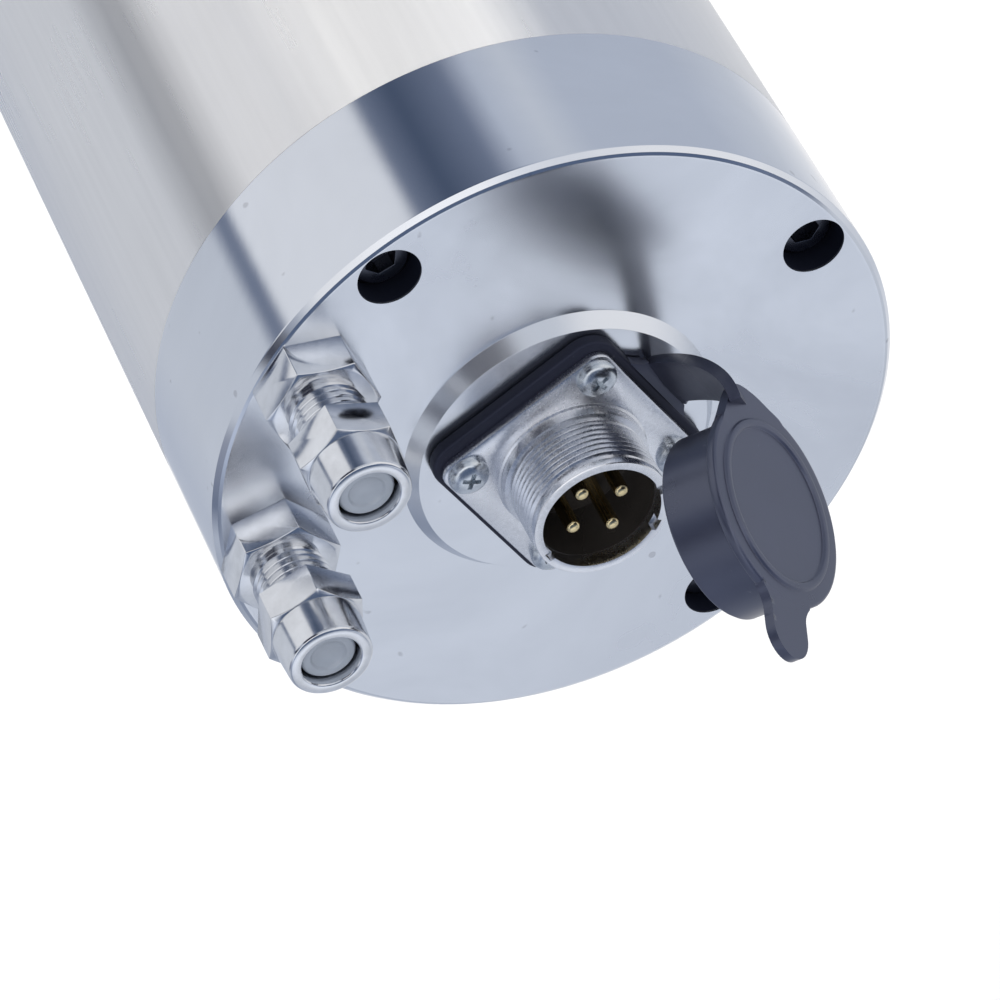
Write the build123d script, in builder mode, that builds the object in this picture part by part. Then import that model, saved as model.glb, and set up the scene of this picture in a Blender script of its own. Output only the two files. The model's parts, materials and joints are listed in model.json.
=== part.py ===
"""Water-cooled router spindle motor, 100 mm body, ER20 collet nose.

Millimetres, +Z up. The spindle axis is Z. The origin is on the axis at the middle of the
body, where a clamp holds it. The connector end faces +Z and the collet end faces -Z.
The dust cap of the power socket is modelled hanging open on its strap.
"""

from build123d import *
from math import cos, radians, sin, tan
import os

os.makedirs("parts", exist_ok=True)

# ---------------------------------------------------------------- driving dimensions
body_d = 100.0              # clamping diameter
body_length = 213.0         # over both end covers
rear_cover_h = 26.0
front_cover_h = 28.0
cover_chamfer = 1.0
tube_wall = 2.5
seat_gap = 0.03             # radial gap of every turned fit inside one body
running_gap = 0.30          # radial gap between a turning piece and a fixed one

# cooling jacket inside the tube
jacket_wall = 8.5           # tube bore to jacket bore
groove_depth = 3.2
groove_width = 8.5
groove_pitch = 12.5
crossover_width = 9.0
passage_r = 1.8             # drilled water passage
passage_inset = 2.6         # jacket bore to the passage's middle
seal_cord_d = 2.4           # O-ring cord
seal_groove_depth = 2.0
seal_from_end = 22.0        # jacket end to O-ring groove

# end cover screws, M5 socket head, the same pattern at both ends
screw_inset = 5.8           # body surface to the screws' circle
screw_azimuth = 45.0
screw_r = 2.5
screw_head_r = 4.25
screw_head_h = 5.0
screw_sink = 3.6            # face to the top of the head
screw_socket_af = 4.0
screw_socket_depth = 2.5
rear_screw_length = 35.0
front_screw_length = 30.0
screw_hole_depth = 13.5     # tapped hole in the jacket
counterbore_r = 4.5
screw_hole_gap = 0.25

# rear cover
boss_base_r = 22.8
boss_top_r = 21.2
boss_h = 2.1
cavity_wall = 16.0          # round the wiring cavity
cover_roof = 9.0            # over the wiring cavity
port_r = 4.86               # G1/8 port
port_depth = 12.0

# rear bearing plate
plate_h = 6.0
plate_spigot_h = 4.0
plate_hub_r = 22.0
plate_hub_h = 14.5          # bearing hub below the spigot
lead_hole_r = 2.6
lead_inset = 2.7            # cavity wall to the leads' circle

# stator and rotor
core_front_space = 28.5     # front end of the tube to the core
core_rear_space = 40.5      # core to the rear end of the tube
stator_bore_r = 26.0
rotor_r = 25.5
slot_count = 24
slot_width = 3.2
slot_inner_r = 28.5
yoke_wall = 2.5             # core left outside the slots
slot_mouth = 1.2
slot_liner = 0.12
winding_inner_r = 28.0
winding_overhang = 0.5      # end winding outside the slots
winding_h = 15.0
end_ring_h = 8.0
end_ring_inner_r = 17.0
vane_count = 8
vane_h = 5.0
rotor_seat_r = 14.0

# bearings: bore radius, outer radius, width, ball radius
front_bore_r, front_outer_r, front_width, front_ball_r = 12.5, 23.5, 12.0, 3.3
rear_bore_r, rear_outer_r, rear_width, rear_ball_r = 7.5, 16.0, 9.0, 2.5
front_ball_count = 10
rear_ball_count = 9
spacer_h = 3.0
spring_h = 1.5

# shaft and nose
shaft_nose = 24.5           # front face of the cover to the shaft's tip
front_stack_depth = 5.5     # front face of the cover to the first bearing
lip_h = 2.5                 # lip that stops a bearing's outer ring
lip_cut = 4.5               # lip radius under the outer ring's radius
shaft_collar = 4.5          # collar beyond the front bearings' bore
shaft_collar_h = 10.0
locknut_h = 7.0
locknut_r = 12.5
taper_angle = 8.0           # half angle of the collet seat
taper_mouth_r = 10.5
taper_depth = 26.0
socket_bore_r = 6.6
socket_depth = 42.0

# collet and nut
collet_gap = 0.10
collet_nose = 5.8           # collet beyond the shaft's tip
collet_bore_r = 5.0         # 10 mm cutter shank
collet_slot = 0.5
collet_slot_count = 6
collet_slot_land = 6.0      # left uncut at the end of each slit
collet_slot_turn = 15.0
nut_across_flats = 30.0
nut_r = 17.0
nut_overlap = 13.0          # nut over the shaft's thread
nut_thread_gap = 0.08
nut_lip = 0.7               # nut beyond the collet's nose

# front bearing cap and slinger
cap_plate_r = 31.0
cap_plate_h = 5.0
cap_screw_pitch_r = 27.2
cap_screw_r = 2.0
cap_screw_count = 6
cap_screw_length = 12.0
slinger_r = 18.0
slinger_hub_r = 15.5

# power socket, M20 barrel on a square flange
flange_side = 28.4
flange_corner_r = 2.4
flange_h = 1.3
gasket_h = 2.0
gasket_side = 32.2
gasket_corner_r = 4.4
collar_base_r = 11.0
collar_top_r = 10.4
collar_h = 1.6
barrel_r = 10.0
barrel_bore_r = 9.05
barrel_top = 16.7           # mouth over the rear face
socket_back_r = 10.1
socket_back_depth = 9.0     # shell below the rear face
socket_hole_r = 10.3
key_notch_azimuths = (-136.0, -14.0, 28.0)
key_notch_width = 1.8
key_notch_depth = 1.3
liner_wall = 0.55
liner_below_mouth = 1.0
insulator_face = 5.5        # pin face over the rear face
pin_pitch_r = 4.15
pin_r = 1.0
pin_tip = 14.4              # over the rear face
pin_back = 12.5             # below the rear face
small_screw_pitch_r = 15.6
small_screw_r = 1.5
small_head_r = 2.9
small_head_h = 1.7
small_screw_length = 8.0

# phase leads from the winding to the socket
lead_r = 1.2
lead_bend_r = 2.0
lead_drop = 16.5            # rear face to the slanted run's inner end
lead_slope = 4.0            # height that the slanted run gains

# dust cap of the socket, its strap and the way it swings
cap_disc_r = 14.4
cap_disc_h = 1.8
cap_depth = 10.0
cap_skirt_r = 12.9
cap_bore_r = 10.35
cap_ceiling_h = 2.2
cap_groove_r = 10.8
cap_groove_w = 0.7
cap_groove_depth = 0.35
tab_width = 8.0
tab_reach = 22.6
lug_width = 9.0
lug_reach = 15.5
lug_h = 1.7
swing_azimuth = 51.5        # direction in which the cap swings open
swing_angle = 66.5          # from over the socket to hanging open
swing_pivot_r = 18.12
swing_pivot_h = 14.55       # over the rear face
cap_lift = 27.2             # cap top over the rear face, held over the socket
strap_azimuth = 80.0        # strap's side of the cap, over the socket
tab_azimuth = 236.0
strap_root_azimuth = 45.0
strap_width = 8.6
strap_h = 1.6
strap_rise = 20.0           # slope at which the strap leaves the gasket
strap_root_pull = 6.0       # how far the root's direction carries into the curve
strap_cap_pull = 3.3
strap_root_reach = 2.4      # gasket side to the strap's root
strap_root_fillet = 2.2
strap_end_gap = 0.05
strap_sections = 7

# water fittings: hose fittings for 8 mm hose
fitting_inset = 8.0         # body surface to the fittings' circle
fitting_azimuths = {"inlet": 160.0, "outlet": 200.0}
fitting_turns = {"inlet": 8.5, "outlet": 29.0}      # hexagon as it ended up when tightened
nut_turns = {"inlet": -2.0, "outlet": 38.5}
hex_af = 14.0
hex_h = 6.3
stub_r = 5.5
stub_top = 16.0
stub_bore_r = 3.0
gland_af = 13.0
gland_bottom = 12.7
gland_hex_h = 5.6
gland_round_r = 6.35
gland_mouth_r = 5.85
gland_top = 24.3
gland_thread_gap = 0.08
hose_bore_r = 4.1
hose_end = 17.5             # end of the threaded part inside the gland nut
sleeve_wall = 1.0
plug_gap = 0.08
plug_below_mouth = 0.7
plug_dimple_r = 2.3

# ---------------------------------------------------------------- planes worked out
rear_face = body_length / 2
front_face = -body_length / 2
tube_top = rear_face - rear_cover_h
tube_bottom = front_face + front_cover_h
body_r = body_d / 2
jacket_r = body_r - tube_wall - seat_gap
jacket_bore_r = body_r - tube_wall - jacket_wall
slot_outer_r = jacket_bore_r - yoke_wall
winding_outer_r = slot_outer_r + winding_overhang
cavity_r = body_r - cavity_wall
lead_pitch_r = cavity_r - lead_inset
passage_pitch_r = jacket_bore_r + passage_inset
screw_pitch_r = body_r - screw_inset
fitting_pitch_r = body_r - fitting_inset
plate_bottom = tube_top - plate_h
boss_top = rear_face + boss_h
cavity_top = rear_face - cover_roof
lead_rise = rear_face - lead_drop
core_top = tube_top - core_rear_space
core_bottom = tube_bottom + core_front_space
core_length = core_top - core_bottom
core_middle_z = (core_top + core_bottom) / 2
groove_floor_r = jacket_r - groove_depth
groove_count = int(core_length / groove_pitch) + 1
groove_top = core_middle_z + groove_pitch * (groove_count - 1) / 2
shaft_tip = front_face - shaft_nose
collet_bottom = shaft_tip - collet_nose
flange_bottom = boss_top + gasket_h
flange_top = flange_bottom + flange_h
swing_pivot = Vector(
    swing_pivot_r * cos(radians(swing_azimuth)),
    swing_pivot_r * sin(radians(swing_azimuth)),
    rear_face + swing_pivot_h,
)
swing_axis = Axis(
    swing_pivot, (-sin(radians(swing_azimuth)), cos(radians(swing_azimuth)), 0)
)

# stack of the front bearings, upwards from the first ring
front_stack = front_face + front_stack_depth
front_second = front_stack + front_width + spacer_h
front_stack_top = front_second + front_width
# stack of the rear bearing
rear_lip_bottom = plate_bottom - plate_spigot_h - plate_hub_h
rear_spring_z = rear_lip_bottom + lip_h
rear_stack = rear_spring_z + spring_h
rear_stack_top = rear_stack + 2 * rear_width
shaft_end = rear_stack_top + locknut_h - 0.5


# ---------------------------------------------------------------- shared shapes
def turned(*profile, centre=(0, 0, 0)):
    """A turned piece: a closed outline of (radius, height) points, revolved about its centre."""
    with BuildPart() as piece:
        with BuildSketch(Plane(origin=centre, x_dir=(1, 0, 0), z_dir=(0, -1, 0))):
            with BuildLine():
                Polyline(*profile, close=True)
            make_face()
        revolve(axis=Axis(centre, (0, 0, 1)))
    return piece


def ring(outer_r, inner_r, bottom, top):
    """A plain turned ring."""
    return turned((inner_r, bottom), (outer_r, bottom), (outer_r, top), (inner_r, top))


def polar_point(radius, azimuth, z=0.0):
    return Vector(radius * cos(radians(azimuth)), radius * sin(radians(azimuth)), z)


def bearing_race(near_r, far_r, bottom, width, groove_r, ball_r):
    """One bearing ring from near_r to far_r, with its ball groove on the near_r side."""
    middle = bottom + width / 2
    with BuildPart() as race:
        with BuildSketch(Plane.XZ):
            with Locations(((near_r + far_r) / 2, middle)):
                Rectangle(abs(far_r - near_r), width - seat_gap)
            with Locations((groove_r, middle)):
                Circle(ball_r + running_gap / 6, mode=Mode.SUBTRACT)
        revolve(axis=Axis.Z)
    return race


def bearing_parts(bore_r, outer_r, width, ball_r, count, bottoms):
    """Outer rings, inner rings and caged balls of bearings stacked on the shaft."""
    pitch_r = (bore_r + outer_r) / 2
    shoulder = ball_r * 0.55
    with BuildPart() as outer_rings:
        for bottom in bottoms:
            add(bearing_race(pitch_r + shoulder, outer_r, bottom, width, pitch_r, ball_r).part)
    with BuildPart() as inner_rings:
        for bottom in bottoms:
            add(bearing_race(pitch_r - shoulder, bore_r, bottom, width, pitch_r, ball_r).part)
    with BuildPart() as balls:
        for bottom in bottoms:
            middle = bottom + width / 2
            with BuildSketch(Plane.XY.offset(middle - ball_r * 0.45)):
                Circle(pitch_r + ball_r * 0.3)
                Circle(pitch_r - ball_r * 0.3, mode=Mode.SUBTRACT)
            extrude(amount=ball_r * 0.9)
            with Locations((0, 0, middle)):
                with PolarLocations(pitch_r, count):
                    Sphere(ball_r)
    return outer_rings, inner_rings, balls


def socket_screws(head_top, length, up):
    """Four socket head screws on the cover's pattern; up is +1 at the rear, -1 in front."""
    under_head = head_top - up * screw_head_h
    outward = Plane(origin=(0, 0, under_head), z_dir=(0, 0, up))
    with BuildPart() as screws:
        with BuildSketch(outward):
            with PolarLocations(screw_pitch_r, 4, screw_azimuth):
                Circle(screw_head_r)
        extrude(amount=screw_head_h)
        heads = screws.faces().sort_by(Axis.Z, reverse=up > 0)[:4]
        chamfer(heads.edges(), 0.4)
        with BuildSketch(Plane(origin=(0, 0, head_top), z_dir=(0, 0, -up))):
            with PolarLocations(screw_pitch_r, 4, screw_azimuth):
                RegularPolygon(screw_socket_af / 2, 6, major_radius=False)
        extrude(amount=screw_socket_depth, mode=Mode.SUBTRACT)
        with BuildSketch(Plane(origin=(0, 0, under_head), z_dir=(0, 0, -up))):
            with PolarLocations(screw_pitch_r, 4, screw_azimuth):
                Circle(screw_r)
        extrude(amount=length)
    return screws


# ---------------------------------------------------------------- body, jacket, seals
with BuildPart() as body_tube:
    with BuildSketch(Plane.XY.offset(tube_bottom)):
        Circle(body_r)
        Circle(body_r - tube_wall, mode=Mode.SUBTRACT)
    extrude(amount=tube_top - tube_bottom)
    outer_rims = body_tube.edges().filter_by(GeomType.CIRCLE).group_by(SortBy.RADIUS)[-1]
    chamfer(outer_rims, 0.25)

seal_heights = (tube_bottom + seal_from_end, tube_top - seal_from_end)
seal_floor_r = jacket_r - seal_groove_depth
passage_bottoms = {"inlet": groove_top, "outlet": groove_top - groove_pitch * (groove_count - 1)}

with BuildPart() as cooling_jacket:
    jacket_top = plate_bottom
    with BuildSketch(Plane.XY.offset(tube_bottom)):
        Circle(jacket_r)
        Circle(jacket_bore_r, mode=Mode.SUBTRACT)
    extrude(amount=jacket_top - tube_bottom)
    for turn in range(groove_count):
        z = groove_top - turn * groove_pitch
        with BuildSketch(Plane.XY.offset(z - groove_width / 2)):
            Circle(jacket_r + 1)
            Circle(groove_floor_r, mode=Mode.SUBTRACT)
        extrude(amount=groove_width, mode=Mode.SUBTRACT)
    # the crossovers alternate sides, so that the water runs round every groove
    for turn in range(groove_count - 1):
        z = groove_top - (turn + 0.5) * groove_pitch
        side = 1 if turn % 2 == 0 else -1
        with BuildSketch(Plane(origin=(side * groove_floor_r, 0, z), x_dir=(0, 1, 0), z_dir=(side, 0, 0))):
            Rectangle(crossover_width, groove_pitch)
        extrude(amount=groove_depth + 1, mode=Mode.SUBTRACT)
    for z in seal_heights:
        with BuildSketch(Plane.XY.offset(z - seal_cord_d / 2 - 0.2)):
            Circle(jacket_r + 1)
            Circle(seal_floor_r, mode=Mode.SUBTRACT)
        extrude(amount=seal_cord_d + 0.4, mode=Mode.SUBTRACT)
    for name, azimuth in fitting_azimuths.items():
        with BuildSketch(Plane.XY.offset(jacket_top)):
            with Locations(polar_point(passage_pitch_r, azimuth)):
                Circle(passage_r)
        extrude(amount=passage_bottoms[name] - jacket_top, mode=Mode.SUBTRACT)
        # a radial drilling joins the passage to its groove
        drill = Plane(
            origin=polar_point(passage_pitch_r, azimuth, passage_bottoms[name]),
            z_dir=polar_point(1, azimuth),
        )
        with BuildSketch(drill):
            Circle(passage_r)
        extrude(amount=jacket_r - passage_pitch_r, mode=Mode.SUBTRACT)
    for face_z, direction in ((jacket_top, -1), (tube_bottom, 1)):
        with BuildSketch(Plane(origin=(0, 0, face_z), z_dir=(0, 0, direction))):
            with PolarLocations(screw_pitch_r, 4, screw_azimuth):
                Circle(screw_r + seat_gap)
        extrude(amount=screw_hole_depth, mode=Mode.SUBTRACT)

seal_middle_r = (seal_floor_r + body_r - tube_wall) / 2
with BuildPart() as jacket_seals:
    with BuildSketch(Plane.XZ):
        for z in seal_heights:
            with Locations((seal_middle_r, z)):
                RectangleRounded(seal_groove_depth - seat_gap, seal_cord_d, 0.6)
    revolve(axis=Axis.Z)

# ---------------------------------------------------------------- stator
with BuildPart() as stator_core:
    with BuildSketch(Plane.XY.offset(core_bottom)):
        Circle(jacket_bore_r - seat_gap)
        Circle(stator_bore_r, mode=Mode.SUBTRACT)
        with PolarLocations(0, slot_count):
            with Locations(((slot_inner_r + slot_outer_r) / 2, 0)):
                Rectangle(slot_outer_r - slot_inner_r, slot_width, mode=Mode.SUBTRACT)
            with Locations(((stator_bore_r + slot_inner_r) / 2, 0)):
                Rectangle(slot_inner_r - stator_bore_r + 1, slot_mouth, mode=Mode.SUBTRACT)
    extrude(amount=core_length)

with BuildPart() as stator_windings:
    with BuildSketch(Plane.XY.offset(core_bottom)):
        with PolarLocations(0, slot_count):
            with Locations(((slot_inner_r + slot_outer_r) / 2, 0)):
                Rectangle(
                    slot_outer_r - slot_inner_r - 2 * slot_liner, slot_width - 2 * slot_liner
                )
    extrude(amount=core_length)
    for end_z, direction in ((core_top, 1), (core_bottom, -1)):
        with BuildSketch(Plane.XZ):
            with Locations(
                ((winding_inner_r + winding_outer_r) / 2, end_z + direction * winding_h / 2)
            ):
                RectangleRounded(winding_outer_r - winding_inner_r, winding_h, 2.0)
        revolve(axis=Axis.Z)

# ---------------------------------------------------------------- shaft and rotor
shoulder_top = front_stack_top + shaft_collar_h
seat_bottom = core_bottom - end_ring_h
seat_top = core_top + end_ring_h
with BuildPart() as shaft:
    with BuildSketch(Plane.XZ):
        with BuildLine():
            Polyline(
                (0, shaft_tip),
                (front_bore_r - 0.8, shaft_tip),
                (front_bore_r, shaft_tip + 0.8),
                (front_bore_r, shaft_tip + nut_overlap + 2),
                (front_bore_r - 0.9, shaft_tip + nut_overlap + 2.5),
                (front_bore_r - 0.9, shaft_tip + nut_overlap + 4),
                (front_bore_r, shaft_tip + nut_overlap + 4.5),
                (front_bore_r, front_stack_top),
                (front_bore_r + shaft_collar, front_stack_top),
                (front_bore_r + shaft_collar, shoulder_top - 1),
                (front_bore_r + shaft_collar - 1, shoulder_top),
                (rotor_seat_r + 1, shoulder_top),
                (rotor_seat_r + 1, seat_bottom),
                (rotor_seat_r, seat_bottom),
                (rotor_seat_r, seat_top),
                (rotor_seat_r - 2, seat_top + 1),
                (rotor_seat_r - 2, rear_spring_z - 4),
                (rear_bore_r + 2, rear_spring_z - 2),
                (rear_bore_r + 2, rear_stack),
                (rear_bore_r, rear_stack),
                (rear_bore_r, shaft_end - 0.8),
                (rear_bore_r - 0.8, shaft_end),
                (0, shaft_end),
                close=True,
            )
        make_face()
    revolve(axis=Axis.Z)
    with BuildSketch(Plane.XZ):
        with BuildLine():
            Polyline(
                (0, shaft_tip - 1),
                (taper_mouth_r + tan(radians(taper_angle)), shaft_tip - 1),
                (taper_mouth_r - taper_depth * tan(radians(taper_angle)), shaft_tip + taper_depth),
                (socket_bore_r, shaft_tip + taper_depth),
                (socket_bore_r, shaft_tip + socket_depth),
                (0, shaft_tip + socket_depth + 3),
                close=True,
            )
        make_face()
    revolve(axis=Axis.Z, mode=Mode.SUBTRACT)

rotor_core = ring(rotor_r, rotor_seat_r + seat_gap, core_bottom, core_top)

with BuildPart() as rotor_end_rings:
    for end_z, direction in ((core_top, 1), (core_bottom, -1)):
        with BuildSketch(Plane(origin=(0, 0, end_z), z_dir=(0, 0, direction))):
            Circle(rotor_r - 0.4)
            Circle(end_ring_inner_r, mode=Mode.SUBTRACT)
        extrude(amount=end_ring_h)
        with BuildSketch(Plane(origin=(0, 0, end_z + direction * end_ring_h), z_dir=(0, 0, direction))):
            with PolarLocations((rotor_r + end_ring_inner_r) / 2, vane_count):
                Rectangle(rotor_r - end_ring_inner_r - 1.5, 2.0)
        extrude(amount=vane_h)

# ---------------------------------------------------------------- bearings
front_outer_rings, front_inner_rings, front_bearing_balls = bearing_parts(
    front_bore_r + seat_gap, front_outer_r, front_width, front_ball_r, front_ball_count,
    (front_stack, front_second),
)
rear_outer_rings, rear_inner_rings, rear_bearing_balls = bearing_parts(
    rear_bore_r + seat_gap, rear_outer_r, rear_width, rear_ball_r, rear_ball_count,
    (rear_stack, rear_stack + rear_width),
)
front_pitch_r = (front_bore_r + front_outer_r) / 2
spacer_z = front_stack + front_width
outer_spacer = ring(front_outer_r, front_pitch_r + 2, spacer_z, spacer_z + spacer_h)
inner_spacer = ring(front_pitch_r - 2, front_bore_r + seat_gap, spacer_z, spacer_z + spacer_h)

preload_spring = turned(
    (rear_outer_r - 2.6, rear_spring_z),
    (rear_outer_r - 0.2, rear_spring_z + spring_h * 0.6),
    (rear_outer_r - 0.2, rear_stack),
    (rear_outer_r - 2.6, rear_stack - spring_h * 0.6),
)

rear_locknut = turned(
    (rear_bore_r + seat_gap, rear_stack_top),
    (locknut_r - 2.5, rear_stack_top),
    (locknut_r - 2.5, rear_stack_top + 1.5),
    (locknut_r, rear_stack_top + 1.5),
    (locknut_r, rear_stack_top + locknut_h - 2),
    (rear_bore_r + seat_gap, rear_stack_top + locknut_h - 2),
)

# ---------------------------------------------------------------- rear bearing plate
with BuildPart() as rear_bearing_plate:
    with BuildSketch(Plane.XZ):
        with BuildLine():
            Polyline(
                (rear_outer_r - lip_cut, rear_lip_bottom),
                (plate_hub_r, rear_lip_bottom),
                (plate_hub_r, plate_bottom - plate_spigot_h),
                (jacket_bore_r - seat_gap, plate_bottom - plate_spigot_h),
                (jacket_bore_r - seat_gap, plate_bottom),
                (jacket_r, plate_bottom),
                (jacket_r, tube_top),
                (rear_outer_r + seat_gap, tube_top),
                (rear_outer_r + seat_gap, rear_spring_z),
                (rear_outer_r - lip_cut, rear_spring_z),
                close=True,
            )
        make_face()
    revolve(axis=Axis.Z)
    fillet(
        rear_bearing_plate.edges().filter_by(GeomType.CIRCLE).filter_by(
            lambda e: abs(e.radius - plate_hub_r) < 0.01
            and abs(e.center().Z - (plate_bottom - plate_spigot_h)) < 0.01
        ),
        2.0,
    )
    with BuildSketch(Plane.XY.offset(tube_top)):
        with PolarLocations(screw_pitch_r, 4, screw_azimuth):
            Circle(screw_r + screw_hole_gap)
        with PolarLocations(lead_pitch_r, 4, screw_azimuth):
            Circle(lead_hole_r)
        for azimuth in fitting_azimuths.values():
            with Locations(polar_point(passage_pitch_r, azimuth)):
                Circle(passage_r)
    extrude(amount=-(plate_h + plate_spigot_h), mode=Mode.SUBTRACT)
    # seats of the two small water seals
    with BuildSketch(Plane.XY.offset(tube_top)):
        for azimuth in fitting_azimuths.values():
            with Locations(polar_point(passage_pitch_r, azimuth)):
                Circle(passage_r + seal_cord_d)
                Circle(passage_r, mode=Mode.SUBTRACT)
    extrude(amount=-seal_cord_d * 0.75, mode=Mode.SUBTRACT)

with BuildPart() as water_seals:
    with BuildSketch(Plane.XY.offset(tube_top - seal_cord_d * 0.75)):
        for azimuth in fitting_azimuths.values():
            with Locations(polar_point(passage_pitch_r, azimuth)):
                Circle(passage_r + seal_cord_d - 0.1)
                Circle(passage_r + 0.1, mode=Mode.SUBTRACT)
    extrude(amount=seal_cord_d * 0.75)

# ---------------------------------------------------------------- rear cover
with BuildPart() as rear_cover:
    with BuildSketch(Plane.XY.offset(tube_top)):
        Circle(body_r)
    extrude(amount=rear_cover_h)
    rims = rear_cover.edges().filter_by(GeomType.CIRCLE).sort_by(Axis.Z)
    chamfer(rims[-1], cover_chamfer)
    chamfer(rims[0], 0.25)
    with BuildSketch(Plane.XY.offset(rear_face)):
        Circle(boss_base_r)
    with BuildSketch(Plane.XY.offset(boss_top)):
        Circle(boss_top_r)
    loft()
    with BuildSketch(Plane.XY.offset(tube_top)):
        Circle(cavity_r)
    extrude(amount=cavity_top - tube_top, mode=Mode.SUBTRACT)
    with BuildSketch(Plane.XY.offset(boss_top)):
        Circle(socket_hole_r)
    extrude(amount=-(boss_h + cover_roof), mode=Mode.SUBTRACT)
    with BuildSketch(Plane.XY.offset(boss_top)):
        with PolarLocations(small_screw_pitch_r, 4):
            Circle(small_screw_r + seat_gap)
    extrude(amount=-small_screw_length, mode=Mode.SUBTRACT)
    with Locations((0, 0, rear_face)):
        with PolarLocations(screw_pitch_r, 4, screw_azimuth):
            CounterBoreHole(
                screw_r + screw_hole_gap, counterbore_r, screw_sink + screw_head_h, rear_cover_h
            )
    for azimuth in fitting_azimuths.values():
        with BuildSketch(Plane.XY.offset(rear_face)):
            with Locations(polar_point(fitting_pitch_r, azimuth)):
                Circle(port_r)
        extrude(amount=-port_depth, mode=Mode.SUBTRACT)
        with BuildSketch(Plane.XY.offset(rear_face)):
            with Locations(polar_point(passage_pitch_r, azimuth)):
                Circle(passage_r)
        extrude(amount=-rear_cover_h, mode=Mode.SUBTRACT)

cover_screws = socket_screws(rear_face - screw_sink, rear_screw_length, 1)

# ---------------------------------------------------------------- front cover and cap
spigot_top = front_stack_top + lip_h
with BuildPart() as front_cover:
    with BuildSketch(Plane.XZ):
        with BuildLine():
            Polyline(
                (front_outer_r + seat_gap, front_face),
                (body_r - cover_chamfer, front_face),
                (body_r, front_face + cover_chamfer),
                (body_r, tube_bottom - 0.25),
                (body_r - 0.25, tube_bottom),
                (jacket_bore_r - seat_gap, tube_bottom),
                (jacket_bore_r - seat_gap, spigot_top - 1),
                (jacket_bore_r - seat_gap - 1, spigot_top),
                (front_outer_r - lip_cut, spigot_top),
                (front_outer_r - lip_cut, front_stack_top),
                (front_outer_r + seat_gap, front_stack_top),
                close=True,
            )
        make_face()
    revolve(axis=Axis.Z)
    with Locations(Location((0, 0, front_face), (180, 0, 0))):
        with PolarLocations(screw_pitch_r, 4, screw_azimuth):
            CounterBoreHole(
                screw_r + screw_hole_gap, counterbore_r, screw_sink + screw_head_h, front_cover_h
            )
    with BuildSketch(Plane.XY.offset(front_face)):
        with PolarLocations(cap_screw_pitch_r, cap_screw_count, 30):
            Circle(cap_screw_r + seat_gap)
    extrude(amount=cap_screw_length, mode=Mode.SUBTRACT)

front_cover_screws = socket_screws(front_face + screw_sink, front_screw_length, -1)

cap_bottom = front_face - cap_plate_h
cap_head_r = 2 * cap_screw_r
with BuildPart() as front_bearing_cap:
    with BuildSketch(Plane.XZ):
        with BuildLine():
            Polyline(
                (slinger_r + running_gap, cap_bottom),
                (cap_plate_r - 0.8, cap_bottom),
                (cap_plate_r, cap_bottom + 0.8),
                (cap_plate_r, front_face),
                (front_outer_r - seat_gap, front_face),
                (front_outer_r - seat_gap, front_stack),
                (slinger_r + 2, front_stack),
                (slinger_r + 2, front_stack - 3),
                (slinger_r + running_gap, front_stack - 3),
                close=True,
            )
        make_face()
    revolve(axis=Axis.Z)
    with Locations(Location((0, 0, cap_bottom), (180, 0, 0))):
        with PolarLocations(cap_screw_pitch_r, cap_screw_count, 30):
            CounterSinkHole(cap_screw_r + 0.15, cap_head_r, cap_plate_h, 90)

cap_cone_h = cap_head_r - cap_screw_r
with BuildPart() as front_cap_screw:
    with BuildSketch(Plane.XZ):
        with BuildLine():
            Polyline(
                (0, cap_bottom + 0.2),
                (cap_head_r - 0.25, cap_bottom + 0.2),
                (cap_screw_r, cap_bottom + cap_cone_h),
                (cap_screw_r, front_face + cap_screw_length - 2),
                (0, front_face + cap_screw_length - 2),
                close=True,
            )
        make_face()
    revolve(axis=Axis.Z)
with BuildPart() as front_cap_screws:
    with PolarLocations(cap_screw_pitch_r, cap_screw_count, 30):
        add(front_cap_screw.part)

slinger_nut = turned(
    (front_bore_r + seat_gap, cap_bottom - 1.2),
    (slinger_r - 1, cap_bottom - 1.2),
    (slinger_r, cap_bottom - 0.2),
    (slinger_r, front_stack - 3.4),
    (slinger_hub_r, front_stack - 3.4),
    (slinger_hub_r, front_stack),
    (front_bore_r + seat_gap, front_stack),
)

# ---------------------------------------------------------------- collet and nut
taper = tan(radians(taper_angle))
collet_top = shaft_tip + taper_depth - 1.5
collet_mouth_r = taper_mouth_r - collet_gap
ring_r = collet_mouth_r - 0.2
neck_r = collet_mouth_r - 1.3
neck_top = shaft_tip - 1.2
neck_bottom = neck_top - 1.8
nose_r = ring_r - (neck_bottom - collet_bottom) * tan(radians(30))
with BuildPart() as collet:
    with BuildSketch(Plane.XZ):
        with BuildLine():
            Polyline(
                (collet_bore_r, collet_bottom),
                (nose_r, collet_bottom),
                (ring_r, neck_bottom),
                (neck_r, neck_bottom),
                (neck_r, neck_top),
                (collet_mouth_r, neck_top),
                (collet_mouth_r, shaft_tip),
                (collet_mouth_r - (collet_top - shaft_tip) * taper, collet_top),
                (collet_bore_r, collet_top),
                close=True,
            )
        make_face()
    revolve(axis=Axis.Z)
    slot_length = collet_top - collet_bottom - collet_slot_land
    half_step = 180 / collet_slot_count
    for start_z, direction, turn in ((collet_bottom, 1, 0), (collet_top, -1, half_step)):
        slot_plane = Plane(origin=(0, 0, start_z), z_dir=(0, 0, direction))
        with BuildSketch(slot_plane):
            with PolarLocations(0, collet_slot_count, collet_slot_turn + turn):
                with Locations((taper_mouth_r / 2, 0)):
                    Rectangle(taper_mouth_r, collet_slot)
        extrude(amount=slot_length, mode=Mode.SUBTRACT)

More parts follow.
